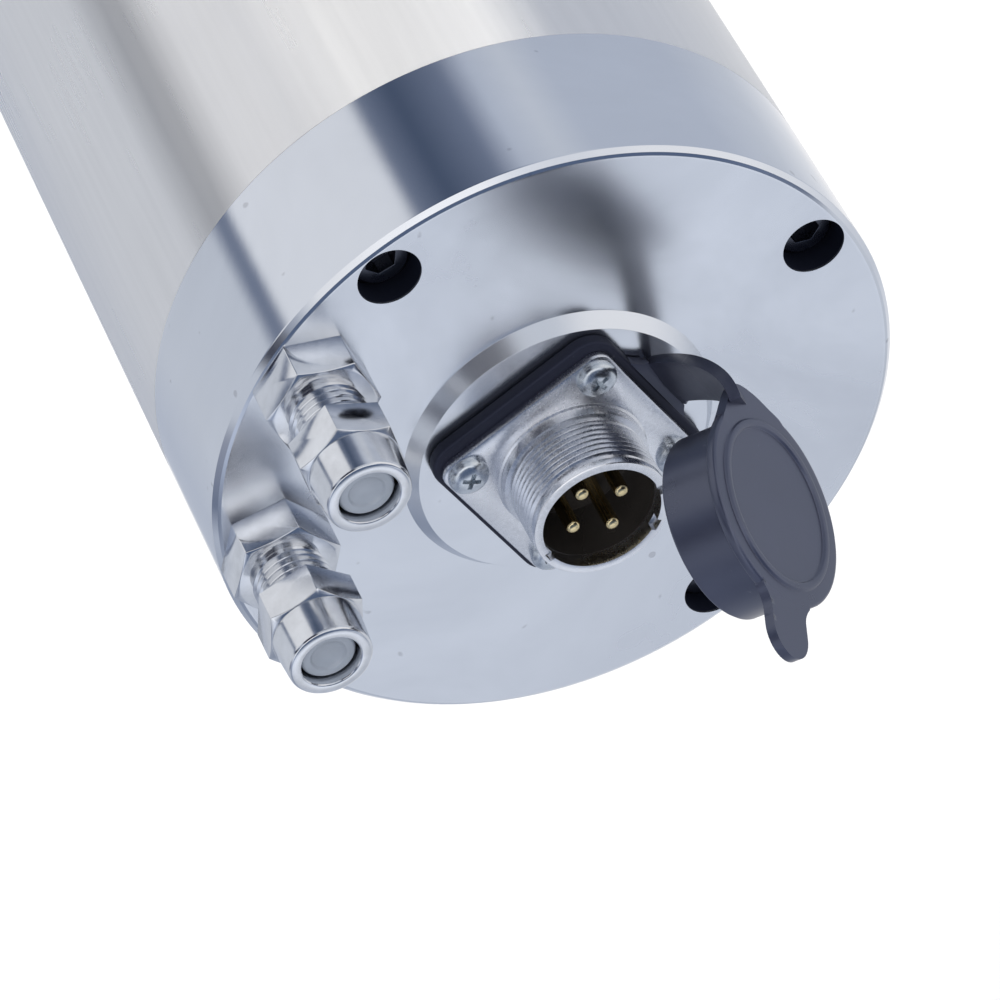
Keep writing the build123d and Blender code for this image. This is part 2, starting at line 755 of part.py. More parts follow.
nut_top = shaft_tip + nut_overlap
nut_bottom = collet_bottom - nut_lip
thread_bore_r = front_bore_r + nut_thread_gap
lip_top = neck_top - collet_gap
lip_bottom = neck_bottom + collet_gap
cone_gap = collet_gap / cos(radians(30))
with BuildPart() as collet_nut:
    with BuildSketch(Plane.XY.offset(nut_bottom)):
        RegularPolygon(nut_across_flats / 2, 6, major_radius=False)
        Circle(nut_r, mode=Mode.INTERSECT)
    extrude(amount=nut_top - nut_bottom)
    with BuildSketch(Plane.XZ):
        with BuildLine():
            Polyline(
                (nut_r - 2.2, nut_bottom),
                (nut_r + 1, nut_bottom),
                (nut_r + 1, nut_bottom + 3.2 * tan(radians(35))),
                close=True,
            )
        make_face()
        with BuildLine():
            Polyline(
                (nut_r - 1.6, nut_top),
                (nut_r + 1, nut_top),
                (nut_r + 1, nut_top - 2.6 * tan(radians(30))),
                close=True,
            )
        make_face()
        with BuildLine():
            Polyline(
                (0, nut_top),
                (thread_bore_r + 0.6, nut_top),
                (thread_bore_r, nut_top - 0.6),
                (thread_bore_r, shaft_tip - 0.3),
                (collet_mouth_r + collet_gap, shaft_tip - 0.3),
                (collet_mouth_r + collet_gap, lip_top),
                (neck_r + collet_gap, lip_top),
                (neck_r + collet_gap, lip_bottom),
                (ring_r + collet_gap, lip_bottom),
                (ring_r + collet_gap, neck_bottom - cone_gap),
                (nose_r + collet_gap, collet_bottom - cone_gap),
                (nose_r + collet_gap, nut_bottom),
                (0, nut_bottom),
                close=True,
            )
        make_face()
    revolve(axis=Axis.Z, mode=Mode.SUBTRACT)

# ---------------------------------------------------------------- power socket
with BuildPart() as connector_shell:
    with BuildSketch(Plane.XY.offset(flange_bottom)):
        with Locations(Location((0, 0), 45)):
            RectangleRounded(flange_side, flange_side, flange_corner_r)
    extrude(amount=flange_h)
    chamfer(connector_shell.faces().sort_by(Axis.Z)[-1].edges(), 0.25)
    with BuildSketch(Plane.XZ):
        with BuildLine():
            Polyline(
                (0, flange_top),
                (collar_base_r, flange_top),
                (collar_top_r, flange_top + collar_h),
                (barrel_r, flange_top + collar_h),
                (barrel_r, rear_face + barrel_top - 0.5),
                (barrel_r - 0.5, rear_face + barrel_top),
                (0, rear_face + barrel_top),
                close=True,
            )
        make_face()
    revolve(axis=Axis.Z)
    with BuildSketch(Plane.XY.offset(flange_bottom)):
        Circle(socket_back_r)
    extrude(amount=-(gasket_h + boss_h + socket_back_depth))
    with BuildSketch(Plane.XY.offset(rear_face + barrel_top)):
        Circle(barrel_bore_r)
    extrude(amount=-(barrel_top + socket_back_depth), mode=Mode.SUBTRACT)
    with BuildSketch(Plane.XY.offset(rear_face + barrel_top)):
        for azimuth in key_notch_azimuths:
            with Locations(Location(polar_point(barrel_bore_r, azimuth), azimuth)):
                Rectangle(1.0, key_notch_width)
    extrude(amount=-key_notch_depth, mode=Mode.SUBTRACT)
    with BuildSketch(Plane.XY.offset(flange_bottom)):
        with PolarLocations(small_screw_pitch_r, 4):
            Circle(small_screw_r + 0.1)
    extrude(amount=flange_h, mode=Mode.SUBTRACT)

insulator_bottom = rear_face - socket_back_depth
with BuildPart() as connector_insulator:
    with BuildSketch(Plane.XY.offset(insulator_bottom)):
        Circle(barrel_bore_r - seat_gap)
    extrude(amount=socket_back_depth + insulator_face)
    with BuildSketch(Plane.XY.offset(insulator_bottom)):
        with PolarLocations(pin_pitch_r, 4, screw_azimuth):
            Circle(pin_r + seat_gap)
    extrude(amount=socket_back_depth + insulator_face, mode=Mode.SUBTRACT)

socket_liner = ring(
    barrel_bore_r - seat_gap,
    barrel_bore_r - liner_wall,
    rear_face + insulator_face,
    rear_face + barrel_top - liner_below_mouth - key_notch_depth,
)

with BuildPart() as connector_pins:
    with BuildSketch(Plane.XY.offset(rear_face - pin_back)):
        with PolarLocations(pin_pitch_r, 4, screw_azimuth):
            Circle(pin_r)
    extrude(amount=pin_tip + pin_back)
    fillet(connector_pins.faces().sort_by(Axis.Z)[-4:].edges(), pin_r * 0.8)

with BuildPart() as connector_screws:
    with BuildSketch(Plane.XY.offset(flange_top)):
        with PolarLocations(small_screw_pitch_r, 4):
            Circle(small_head_r)
    extrude(amount=small_head_h)
    fillet(connector_screws.faces().sort_by(Axis.Z)[-4:].edges(), 1.0)
    with BuildSketch(Plane.XY.offset(flange_top)):
        with PolarLocations(small_screw_pitch_r, 4):
            Circle(small_screw_r)
    extrude(amount=-small_screw_length)

# the gasket's edge flares out into the root of the strap
root_x = gasket_side / 2 + strap_root_reach
with BuildPart() as socket_gasket:
    with BuildSketch(Plane.XY.offset(boss_top).rotated((0, 0, strap_root_azimuth))) as gasket_plan:
        RectangleRounded(gasket_side, gasket_side, gasket_corner_r)
        with Locations((root_x / 2, 0)):
            Rectangle(root_x, strap_width)
        inner_corners = gasket_plan.vertices().filter_by(
            lambda v: abs(v.X - gasket_side / 2) < 0.01 and abs(abs(v.Y) - strap_width / 2) < 0.01
        )
        fillet(inner_corners, strap_root_fillet)
        Circle(socket_hole_r + 0.1, mode=Mode.SUBTRACT)
        with PolarLocations(small_screw_pitch_r, 4, 45):
            Circle(small_screw_r + 0.2, mode=Mode.SUBTRACT)
    extrude(amount=gasket_h)

with BuildPart() as phase_leads:
    for quarter in range(4):
        azimuth = screw_azimuth + 90 * quarter
        radial = Plane(
            origin=(0, 0, 0), x_dir=polar_point(1, azimuth), z_dir=polar_point(1, azimuth - 90)
        )
        route = (
            (lead_pitch_r, core_top + winding_h),
            (lead_pitch_r, lead_rise - lead_slope),
            (pin_pitch_r, lead_rise),
            (pin_pitch_r, rear_face - pin_back),
        )
        with BuildLine(radial):
            FilletPolyline(*route, radius=lead_bend_r)
        with BuildSketch(Plane(origin=polar_point(lead_pitch_r, azimuth, core_top + winding_h))):
            Circle(lead_r)
        sweep()

# ---------------------------------------------------------------- dust cap and strap
# The cap is made over the socket, where it points straight down, and then swung open.
cap_top = rear_face + cap_lift
tab_tip_x = tab_reach - tab_width / 2
with BuildPart() as closed_cap:
    with BuildSketch(Plane.XZ):
        with BuildLine():
            Polyline(
                (0, cap_top - cap_ceiling_h),
                (cap_bore_r, cap_top - cap_ceiling_h),
                (cap_bore_r, cap_top - cap_depth),
                (cap_skirt_r, cap_top - cap_depth),
                (cap_skirt_r, cap_top - cap_disc_h),
                (cap_disc_r, cap_top - cap_disc_h),
                (cap_disc_r, cap_top),
                (cap_groove_r + cap_groove_w, cap_top),
                (cap_groove_r + cap_groove_w / 2, cap_top - cap_groove_depth),
                (cap_groove_r, cap_top),
                (0, cap_top),
                close=True,
            )
        make_face()
    revolve(axis=Axis.Z)
    with BuildSketch(Plane.XY.offset(cap_top).rotated((0, 0, tab_azimuth))):
        with Locations(((cap_skirt_r + tab_tip_x) / 2, 0)):
            Rectangle(tab_tip_x - cap_skirt_r, tab_width)
        with Locations((tab_tip_x, 0)):
            Circle(tab_width / 2)
    extrude(amount=-cap_disc_h)
    with BuildSketch(Plane.XY.offset(cap_top).rotated((0, 0, strap_azimuth))):
        with Locations(((cap_skirt_r + lug_reach) / 2, 0)):
            Rectangle(lug_reach - cap_skirt_r, lug_width)
    extrude(amount=-lug_h)
with BuildPart() as dust_cap:
    add(closed_cap.part.rotate(swing_axis, swing_angle))


def swung(point):
    """A point of the closed cap, carried to where the open cap has it."""
    return swing_pivot + (point - swing_pivot).rotate(swing_axis, swing_angle)


# The strap runs from the gasket's root to the cap's lug, twisting as it goes.
root_out = polar_point(1, strap_root_azimuth)
root_side = polar_point(1, strap_root_azimuth + 90)
root_slope = root_out * cos(radians(strap_rise)) + Vector(0, 0, sin(radians(strap_rise)))
root_end = polar_point(root_x + strap_end_gap, strap_root_azimuth, boss_top + gasket_h / 2)
lug_out = polar_point(1, strap_azimuth).rotate(swing_axis, swing_angle)
lug_side = polar_point(1, strap_azimuth + 90).rotate(swing_axis, swing_angle)
lug_end = swung(polar_point(lug_reach + strap_end_gap, strap_azimuth, cap_top - lug_h / 2))
with BuildLine() as strap_line:
    Bezier(
        root_end,
        root_end + root_slope * strap_root_pull,
        lug_end + lug_out * strap_cap_pull,
        lug_end,
    )
with BuildPart() as cap_strap:
    for section in range(strap_sections):
        along = section / (strap_sections - 1)
        across = root_side * (1 - along) + lug_side * along
        heading = root_out if section == 0 else strap_line.line % along
        with BuildSketch(Plane(origin=strap_line.line @ along, x_dir=across, z_dir=heading)):
            Rectangle(strap_width, strap_h)
    loft()

# ---------------------------------------------------------------- water fittings


def chamfered_hexagon(centre, across_flats, bottom, top, turn, chamfer_low, chamfer_high):
    """A hexagon bar end whose corners are turned off at 30 degrees where asked."""
    corner_r = across_flats / 2 / cos(radians(30))
    bevel_r = across_flats / 2 - 0.1
    drop = (corner_r + 0.5 - bevel_r) * tan(radians(30))
    with BuildPart() as bar:
        with BuildSketch(Plane.XY.offset(bottom)):
            with Locations(Location(centre, turn)):
                RegularPolygon(across_flats / 2, 6, major_radius=False)
        extrude(amount=top - bottom)
        with BuildSketch(Plane(origin=centre, x_dir=(1, 0, 0), z_dir=(0, -1, 0))):
            for asked, edge, inward in ((chamfer_low, bottom, 1), (chamfer_high, top, -1)):
                if asked:
                    with BuildLine():
                        Polyline(
                            (bevel_r, edge),
                            (corner_r + 0.5, edge),
                            (corner_r + 0.5, edge + inward * drop),
                            close=True,
                        )
                    make_face()
        revolve(axis=Axis(centre, (0, 0, 1)), mode=Mode.SUBTRACT)
    return bar


def water_fitting(name):
    """Fitting, gland nut, clamping sleeve and shipping plug of one port."""
    centre = polar_point(fitting_pitch_r, fitting_azimuths[name])
    face = rear_face
    sleeve_bottom = face + stub_top + 0.3
    sleeve_top = face + hose_end + 1.8
    sleeve_r = stub_r - 0.1
    fitting_hex = chamfered_hexagon(
        centre, hex_af, face, face + hex_h, fitting_turns[name], False, True
    )
    stub = turned(
        (stub_bore_r, face - port_depth + 2.5),
        (port_r - seat_gap * 2, face - port_depth + 2.5),
        (port_r - seat_gap * 2, face + 0.5),
        (stub_r, face + 0.5),
        (stub_r, face + stub_top - 0.6),
        (stub_r - 0.6, face + stub_top),
        (hose_bore_r, face + stub_top),
        (hose_bore_r, face + hex_h + 2),
        (stub_bore_r, face + hex_h + 1),
        centre=centre,
    )
    with BuildPart() as fitting:
        add(fitting_hex.part)
        with BuildSketch(Plane.XY.offset(face)):
            with Locations(centre):
                Circle(stub_r - 0.5)
        extrude(amount=hex_h, mode=Mode.SUBTRACT)
        add(stub.part)
    gland_hex = chamfered_hexagon(
        centre, gland_af, face + gland_bottom, face + gland_bottom + gland_hex_h,
        nut_turns[name], True, True,
    )
    gland_round = turned(
        (0, face + gland_bottom + 1),
        (gland_round_r, face + gland_bottom + 1),
        (gland_round_r, face + gland_bottom + gland_hex_h + 0.5),
        (gland_mouth_r, face + gland_top - 0.4),
        (gland_mouth_r - 0.4, face + gland_top),
        (0, face + gland_top),
        centre=centre,
    )
    gland_bore = turned(
        (0, face + gland_bottom),
        (stub_r + gland_thread_gap, face + gland_bottom),
        (stub_r + gland_thread_gap, sleeve_top + 0.1),
        (hose_bore_r, sleeve_top + 1.6),
        (hose_bore_r, face + gland_top),
        (0, face + gland_top),
        centre=centre,
    )
    with BuildPart() as nut:
        add(gland_hex.part)
        add(gland_round.part)
        add(gland_bore.part, mode=Mode.SUBTRACT)
    sleeve = turned(
        (hose_bore_r + plug_gap / 2, sleeve_bottom),
        (sleeve_r, sleeve_bottom),
        (sleeve_r, sleeve_top),
        (hose_bore_r + plug_gap / 2, sleeve_top + 1.2),
        centre=centre,
    )
    plug = turned(
        (0, sleeve_bottom + 0.5),
        (hose_bore_r - plug_gap - 0.4, sleeve_bottom + 0.5),
        (hose_bore_r - plug_gap, sleeve_bottom + 0.9),
        (hose_bore_r - plug_gap, face + gland_top - plug_below_mouth),
        (plug_dimple_r, face + gland_top - plug_below_mouth),
        (plug_dimple_r - 1, face + gland_top - plug_below_mouth - 1.2),
        (0, face + gland_top - plug_below_mouth - 1.4),
        centre=centre,
    )
    return {"fitting": fitting, "nut": nut, "sleeve": sleeve, "plug": plug}


inlet = water_fitting("inlet")
outlet = water_fitting("outlet")

# ---------------------------------------------------------------- labels and files
pieces = {
    "body_tube": body_tube,
    "cooling_jacket": cooling_jacket,
    "jacket_seals": jacket_seals,
    "stator_core": stator_core,
    "stator_windings": stator_windings,
    "phase_leads": phase_leads,
    "rear_bearing_plate": rear_bearing_plate,
    "rear_cover": rear_cover,
    "cover_screws": cover_screws,
    "water_seals": water_seals,
    "front_cover": front_cover,
    "front_cover_screws": front_cover_screws,
    "front_bearing_cap": front_bearing_cap,
    "front_cap_screws": front_cap_screws,
    "front_outer_rings": front_outer_rings,
    "front_inner_rings": front_inner_rings,
    "front_bearing_balls": front_bearing_balls,
    "outer_spacer": outer_spacer,
    "inner_spacer": inner_spacer,
    "rear_outer_rings": rear_outer_rings,
    "rear_inner_rings": rear_inner_rings,
    "rear_bearing_balls": rear_bearing_balls,
    "preload_spring": preload_spring,
    "rear_locknut": rear_locknut,
    "shaft": shaft,
    "rotor_core": rotor_core,
    "rotor_end_rings": rotor_end_rings,
    "slinger_nut": slinger_nut,
    "collet": collet,
    "collet_nut": collet_nut,
    "connector_shell": connector_shell,
    "connector_insulator": connector_insulator,
    "socket_liner": socket_liner,
    "connector_pins": connector_pins,
    "connector_screws": connector_screws,
    "socket_gasket": socket_gasket,
    "cap_strap": cap_strap,
    "dust_cap": dust_cap,
    "inlet_fitting": inlet["fitting"],
    "inlet_nut": inlet["nut"],
    "inlet_sleeve": inlet["sleeve"],
    "inlet_plug": inlet["plug"],
    "outlet_fitting": outlet["fitting"],
    "outlet_nut": outlet["nut"],
    "outlet_sleeve": outlet["sleeve"],
    "outlet_plug": outlet["plug"],
}
for name, piece in pieces.items():
    piece.part.label = name
    export_step(piece.part, f"parts/{name}.step")
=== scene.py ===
"""Dressed model of a water-cooled spindle motor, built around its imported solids."""

import json
import math

import bmesh
import bpy
from bpy.props import FloatProperty, FloatVectorProperty, PointerProperty
from mathutils import Matrix, Vector


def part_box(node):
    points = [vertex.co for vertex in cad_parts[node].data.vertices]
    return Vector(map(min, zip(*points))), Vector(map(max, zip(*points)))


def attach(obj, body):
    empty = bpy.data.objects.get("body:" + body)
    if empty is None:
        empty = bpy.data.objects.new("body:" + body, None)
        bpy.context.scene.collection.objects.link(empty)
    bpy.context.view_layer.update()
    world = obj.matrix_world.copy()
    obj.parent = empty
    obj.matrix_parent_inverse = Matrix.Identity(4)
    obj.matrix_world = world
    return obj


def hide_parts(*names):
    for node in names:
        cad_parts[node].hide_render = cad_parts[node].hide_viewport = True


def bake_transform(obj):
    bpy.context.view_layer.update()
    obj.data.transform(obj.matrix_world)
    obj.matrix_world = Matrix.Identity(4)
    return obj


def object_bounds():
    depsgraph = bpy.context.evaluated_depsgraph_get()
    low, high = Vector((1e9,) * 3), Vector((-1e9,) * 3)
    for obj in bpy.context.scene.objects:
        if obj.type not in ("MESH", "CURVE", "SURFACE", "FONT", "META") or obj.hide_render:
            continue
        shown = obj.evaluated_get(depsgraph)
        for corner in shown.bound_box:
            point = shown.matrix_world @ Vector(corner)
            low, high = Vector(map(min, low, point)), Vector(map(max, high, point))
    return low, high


bl_info = {
    "name": "Spindle Motor",
    "version": (1, 0, 0),
    "blender": (4, 5, 0),
    "location": "View3D > Sidebar > Spindle",
    "description": "Water-cooled spindle motor with its power socket, cap and hose fittings",
    "category": "Object",
}

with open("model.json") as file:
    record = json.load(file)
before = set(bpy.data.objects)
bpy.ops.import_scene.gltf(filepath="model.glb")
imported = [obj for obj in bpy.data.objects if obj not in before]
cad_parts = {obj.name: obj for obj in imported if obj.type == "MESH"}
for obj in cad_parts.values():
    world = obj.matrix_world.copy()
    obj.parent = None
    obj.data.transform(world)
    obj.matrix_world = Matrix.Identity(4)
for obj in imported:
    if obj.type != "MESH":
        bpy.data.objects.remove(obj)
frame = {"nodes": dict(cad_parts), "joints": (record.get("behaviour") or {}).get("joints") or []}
CAD_BOX = [list(corner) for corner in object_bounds()]
MM = 0.001


def low(node):
    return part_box(node)[0]


def high(node):
    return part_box(node)[1]


# Heights, radii and directions that the solids already settle, and the hair's gap left between pieces.
REAR_FACE = low("inlet_fitting").z + 0.0095
TUBE_TOP = high("body_tube").z
TUBE_BOTTOM = low("body_tube").z
BODY_R = high("body_tube").x
FRONT_FACE = low("front_cover").z
BOSS_TOP = high("rear_cover").z
SHOULDER = -74 * MM
HAIR = 0.02 * MM
FITTING_AZIMUTHS = {"inlet": 160.0, "outlet": 200.0}
JOINTS = {joint["name"]: joint for joint in frame["joints"]}
SWING = JOINTS["cap_swing"]
CAP_LIFT = 27.2 * MM


# What bright metal mirrors, by compass direction: cloth near 1, flags near 0.
BRIGHT = (1.1, 1.1, 1.12)
WHITE = (0.95, 0.97, 1.02)
PALE = (0.72, 0.76, 0.84)
STEEL = (0.60, 0.65, 0.76)
SLATE = (0.20, 0.24, 0.34)
NAVY = (0.08, 0.11, 0.18)
NIGHT = (0.035, 0.04, 0.07)
LOWER_TENT = (
    (-178, WHITE), (-175, SLATE), (-171, SLATE), (-166, PALE), (-120, PALE), (-92, STEEL), (-74, STEEL),
    (-68, BRIGHT), (-40, BRIGHT), (-30, WHITE), (-8, PALE), (20, STEEL), (66, STEEL), (78, PALE), (90, STEEL),
    (99, SLATE), (116, NAVY), (127, SLATE), (131, WHITE), (172, WHITE),
)
MIDDLE_TENT = (
    (-178, NIGHT), (-171, NIGHT), (-166, PALE), (-152, PALE), (-146, (0.38, 0.41, 0.50)), (-128, SLATE),
    (-120, STEEL), (-96, (0.32, 0.37, 0.48)), (-80, STEEL), (-20, PALE), (10, WHITE), (30, BRIGHT), (70, BRIGHT),
    (88, PALE), (116, PALE), (124, NIGHT), (158, NIGHT), (162, STEEL), (170, STEEL), (175, SLATE),
)
UPPER_TENT = (
    (-178, PALE), (-165, WHITE), (-150, PALE), (-130, STEEL), (-106, SLATE), (-86, STEEL), (-74, PALE),
    (-46, PALE), (-38, SLATE), (-24, PALE), (-8, SLATE), (8, NAVY), (24, NAVY), (34, STEEL), (46, NAVY),
    (60, STEEL), (68, WHITE), (96, WHITE), (106, BRIGHT), (166, BRIGHT), (176, PALE),
)

# ------------------------------------------------------------------ settings


def length(name, description, default):
    return FloatProperty(name=name, description=description, default=default, subtype="DISTANCE", unit="LENGTH")


def paint(name, description, default):
    return FloatVectorProperty(
        name=name, description=description, default=default, size=3, subtype="COLOR", min=0, max=1
    )


def share(name, description, default):
    return FloatProperty(name=name, description=description, default=default, subtype="FACTOR", min=0, max=1)


class BodySettings(bpy.types.PropertyGroup):
    cover_chamfer: length("Cover chamfer", "Bevel round the end cover's outer rim", 0.85 * MM)
    boss_base: length("Boss foot radius", "Radius of the raised boss at the cover's face", 22.8 * MM)
    boss_top: length("Boss top radius", "Radius of the raised boss at its top", 21.2 * MM)
    screw_pitch: length("Screw circle", "Radius of the circle the cover screws sit on", 44.2 * MM)
    screw_recess: length("Screw recess", "Radius of the recess round a cover screw", 4.5 * MM)
    screw_sink: length("Screw depth", "How far a screw's head lies below the face", 3.6 * MM)
    tube_colour: paint("Tube steel", "Colour of the satin stainless tube", (0.86, 0.85, 0.84))
    dull_azimuth: FloatProperty(name="Dull zone", description="Degrees round to the duller zone", default=113.0)
    # The band is a painted reflection: a darker streak painted into the tube's colour along the axis.
    painted_streak_azimuth: FloatProperty(name="Band", description="Degrees round to the darker band", default=154.0)
    tube_roughness: share("Tube roughness", "How matt the tube is", 0.30)
    cover_colour: paint("Cover steel", "Colour of the polished end covers", (0.80, 0.825, 0.87))
    cover_roughness: share("Cover roughness", "How matt the polished covers are", 0.10)
    screw_colour: paint("Screw steel", "Colour of the blackened cover screws", (0.13, 0.138, 0.165))


class SocketSettings(bpy.types.PropertyGroup):
    flange_side: length("Flange side", "Side of the socket's square flange", 28.4 * MM)
    flange_corner: length("Flange corner", "Corner radius of the flange", 2.4 * MM)
    barrel_radius: length("Barrel radius", "Crest radius of the barrel's thread", 10.0 * MM)
    thread_pitch: length("Thread pitch", "Pitch of the barrel's thread", 1.0 * MM)
    bore_radius: length("Bore radius", "Radius of the barrel's bore", 9.05 * MM)
    mouth_radius: length("Mouth radius", "Radius of the barrel's opening at its rim", 8.6 * MM)
    pin_radius: length("Pin radius", "Radius of a contact pin", 1.04 * MM)
    pin_circle: length("Pin circle", "Radius of the circle the pins stand on", 4.15 * MM)
    shell_colour: paint("Shell nickel", "Colour of the satin nickel shell", (0.84, 0.85, 0.88))
    pin_colour: paint("Pin gold", "Colour of the gilded pins", (0.90, 0.74, 0.42))
    insulator_colour: paint("Insulator", "Colour of the moulded pin carrier", (0.020, 0.018, 0.017))


class RubberSettings(bpy.types.PropertyGroup):
    gasket_side: length("Gasket side", "Side of the gasket under the flange", 32.2 * MM)
    gasket_depth: length("Gasket depth", "The gasket's other side, along the strap's run", 30.5 * MM)
    gasket_corner: length("Gasket corner", "Corner radius of the gasket", 4.4 * MM)
    strap_width: length("Strap width", "Width of the strap", 8.0 * MM)
    strap_height: length("Strap height", "Thickness of the strap", 1.6 * MM)
    skirt_radius: length("Skirt radius", "Radius of the cap's skirt", 12.9 * MM)
    ring_radius: length("Ring radius", "Middle radius of the raised ring on the cap's disc", 11.5 * MM)
    tab_width: length("Tab width", "Width of the pull tab", 8.0 * MM)
    tab_reach: length("Tab reach", "Distance from the cap's axis to the tab's tip", 22.6 * MM)
    gasket_colour: paint("Gasket rubber", "Colour of the gasket and strap", (0.016, 0.018, 0.032))
    cap_colour: paint("Cap rubber", "Colour of the dust cap", (0.016, 0.018, 0.032))


class FittingSettings(bpy.types.PropertyGroup):
    pitch_radius: length("Fitting circle", "Distance of the fittings from the spindle's axis", 42.0 * MM)
    base_flats: length("Base flats", "Across flats of the fitting's hexagon", 14.0 * MM)
    nut_flats: length("Nut flats", "Across flats of the gland nut's hexagon", 13.0 * MM)
    thread_pitch: length("Thread pitch", "Pitch of the gland thread", 1.3 * MM)
    plate_colour: paint("Bright plating", "Colour of the plated fittings", (0.82, 0.83, 0.85))
    plug_colour: paint("Plug", "Colour of the milky shipping plugs", (0.19, 0.215, 0.26))


class NoseSettings(bpy.types.PropertyGroup):
    nut_flats: length("Nut flats", "Across flats of the collet nut", 30.0 * MM)
    nut_radius: length("Nut radius", "Turned radius of the collet nut", 17.0 * MM)
    nut_colour: paint("Nut steel", "Colour of the collet nut", (0.30, 0.31, 0.33))
    ground_colour: paint("Ground steel", "Colour of shaft, slinger and collet", (0.62, 0.62, 0.63))


class StudioSettings(bpy.types.PropertyGroup):
    camera_place: FloatVectorProperty(
        name="Camera place", description="Where the camera stands", size=3, subtype="TRANSLATION", unit="LENGTH",
        default=(-0.29354835, 0.44905835, 0.60964655),
    )
    camera_turn: FloatVectorProperty(
        name="Camera turn", description="How the camera is turned", size=3, subtype="EULER", unit="ROTATION",
        default=(-0.7585953, -0.3544277, 0.2073407),
    )
    camera_lens: FloatProperty(
        name="Lens", description="Focal length", default=192.1151, subtype="DISTANCE_CAMERA", unit="CAMERA"
    )
    floor_colour: paint("Floor", "Colour of the floor", (0.93, 0.93, 0.93))
    floor_gap: length("Floor gap", "Room below the collet nut, so that it can travel out", 10.0 * MM)
    world_light: FloatProperty(name="Surround", description="Strength of the surround", default=0.55, min=0)
    key_light: FloatProperty(name="Key", description="Power of the large soft lamp", default=18.0, unit="POWER")
    fill_light: FloatProperty(name="Fill", description="Power of the soft side lamp", default=7.0, unit="POWER")


# ------------------------------------------------------------------ modelling helpers


def fresh_start():
    """Leave edit mode and let go of everything."""
    if bpy.context.mode != "OBJECT":
        bpy.ops.object.mode_set(mode="OBJECT")
    bpy.ops.object.select_all(action="DESELECT")


def take(piece):
    fresh_start()
    piece.select_set(True)
    bpy.context.view_layer.objects.active = piece
    return piece


def fresh(name, add, location=(0, 0, 0), **settings):
    """Add a primitive by its operator and name it."""
    fresh_start()
    add(location=location, **settings)
    piece = bpy.context.object
    piece.name = name
    return piece


def modified(piece, kind, **settings):
    """Put a modifier on the piece, set it up and apply it."""
    take(piece)
    bpy.ops.object.modifier_add(type=kind)
    modifier = piece.modifiers[-1]
    for key, value in settings.items():
        setattr(modifier, key, value)
    bpy.ops.object.modifier_apply(modifier=modifier.name)
    return piece


def close_up():
    """Turn all faces outward and leave edit mode."""
    bpy.ops.mesh.select_all(action="SELECT")
    bpy.ops.mesh.normals_make_consistent(inside=False)
    bpy.ops.object.mode_set(mode="OBJECT")


def profile(base, *marks):
    """Points of an outline: radii and heights in millimetres, the heights counted from the base."""
    return [(radius * MM, base + height * MM) for radius, height in marks]


def turned(name, outline, centre=(0, 0, 0), sides=160, solid=False):
    """Draw a ring at the outline's first (radius, height) and pull it on from point to point."""
    cx, cy, cz = centre
    radius, height = outline[0]
    piece = fresh(
        name, bpy.ops.mesh.primitive_circle_add, vertices=sides, radius=radius,
        fill_type="NGON" if solid else "NOTHING", location=(cx, cy, cz + height),
    )
    bpy.ops.object.transform_apply(location=True, rotation=True, scale=True)
    bpy.ops.object.mode_set(mode="EDIT")
    bpy.ops.mesh.select_mode(type="FACE" if solid else "EDGE")
    bpy.ops.mesh.select_all(action="SELECT")
    for next_radius, next_height in outline[1:]:
        bpy.ops.mesh.extrude_region_move(TRANSFORM_OT_translate={"value": (0, 0, next_height - height)})
        if abs(next_radius - radius) > 1e-9:
            grow = next_radius / radius
            bpy.ops.transform.resize(value=(grow, grow, 1), center_override=(cx, cy, cz + next_height))
        radius, height = next_radius, next_height
    if not solid:
        mesh = bmesh.from_edit_mesh(piece.data)
        mesh.edges.ensure_lookup_table()
        for edge in mesh.edges:
            if all(vertex.index < sides for vertex in edge.verts):
                edge.select_set(True)
        bmesh.update_edit_mesh(piece.data)
        bpy.ops.mesh.bridge_edge_loops()
    close_up()
    return piece


def hexagon(name, centre, flats, bottom, top, turn):
    """A plain hexagonal bar end, one corner at the given angle in degrees."""
    piece = fresh(
        name, bpy.ops.mesh.primitive_cylinder_add, vertices=6, radius=flats / 2 / math.cos(math.radians(30)),
        depth=top - bottom, location=(centre[0], centre[1], centre[2] + (bottom + top) / 2),
        rotation=(0, 0, math.radians(turn - 90)),
    )
    bpy.ops.object.transform_apply(location=True, rotation=True, scale=True)
    return piece


def rounded_square(name, side, corner, bottom, top):
    """A square plate with rounded corners, its corners pointing along the axes."""
    middle = (0, 0, (bottom + top) / 2)
    piece = fresh(name, bpy.ops.mesh.primitive_cube_add, size=1, location=middle)
    bpy.ops.transform.resize(value=(side, side, top - bottom), center_override=middle)
    bpy.ops.object.transform_apply(location=True, rotation=True, scale=True)
    bpy.ops.object.mode_set(mode="EDIT")
    bpy.ops.mesh.select_mode(type="EDGE")
    bpy.ops.mesh.select_all(action="DESELECT")
    mesh = bmesh.from_edit_mesh(piece.data)
    for edge in mesh.edges:
        a, b = (vertex.co for vertex in edge.verts)
        edge.select_set(abs(a.z - b.z) > (top - bottom) / 2)
    mesh.select_flush_mode()
    bmesh.update_edit_mesh(piece.data)
    bpy.ops.mesh.bevel(offset=corner, segments=8, affect="EDGES")
    bpy.ops.mesh.select_all(action="SELECT")
    bpy.ops.transform.rotate(value=math.radians(-45), orient_axis="Z", center_override=(0, 0, 0))
    bpy.ops.object.mode_set(mode="OBJECT")
    return piece


def carve(piece, tool, operation="DIFFERENCE"):
    """Cut the tool out of the piece, or keep only what both share, and throw the tool away."""
    modified(piece, "BOOLEAN", operation=operation, solver="EXACT", object=tool)
    bpy.data.objects.remove(tool, do_unlink=True)
    return piece


def bored(piece, outline, centre=(0, 0, 0), sides=64):
    """Cut a turned hole out of the piece."""
    return carve(piece, turned("tool", outline, centre, sides, solid=True))


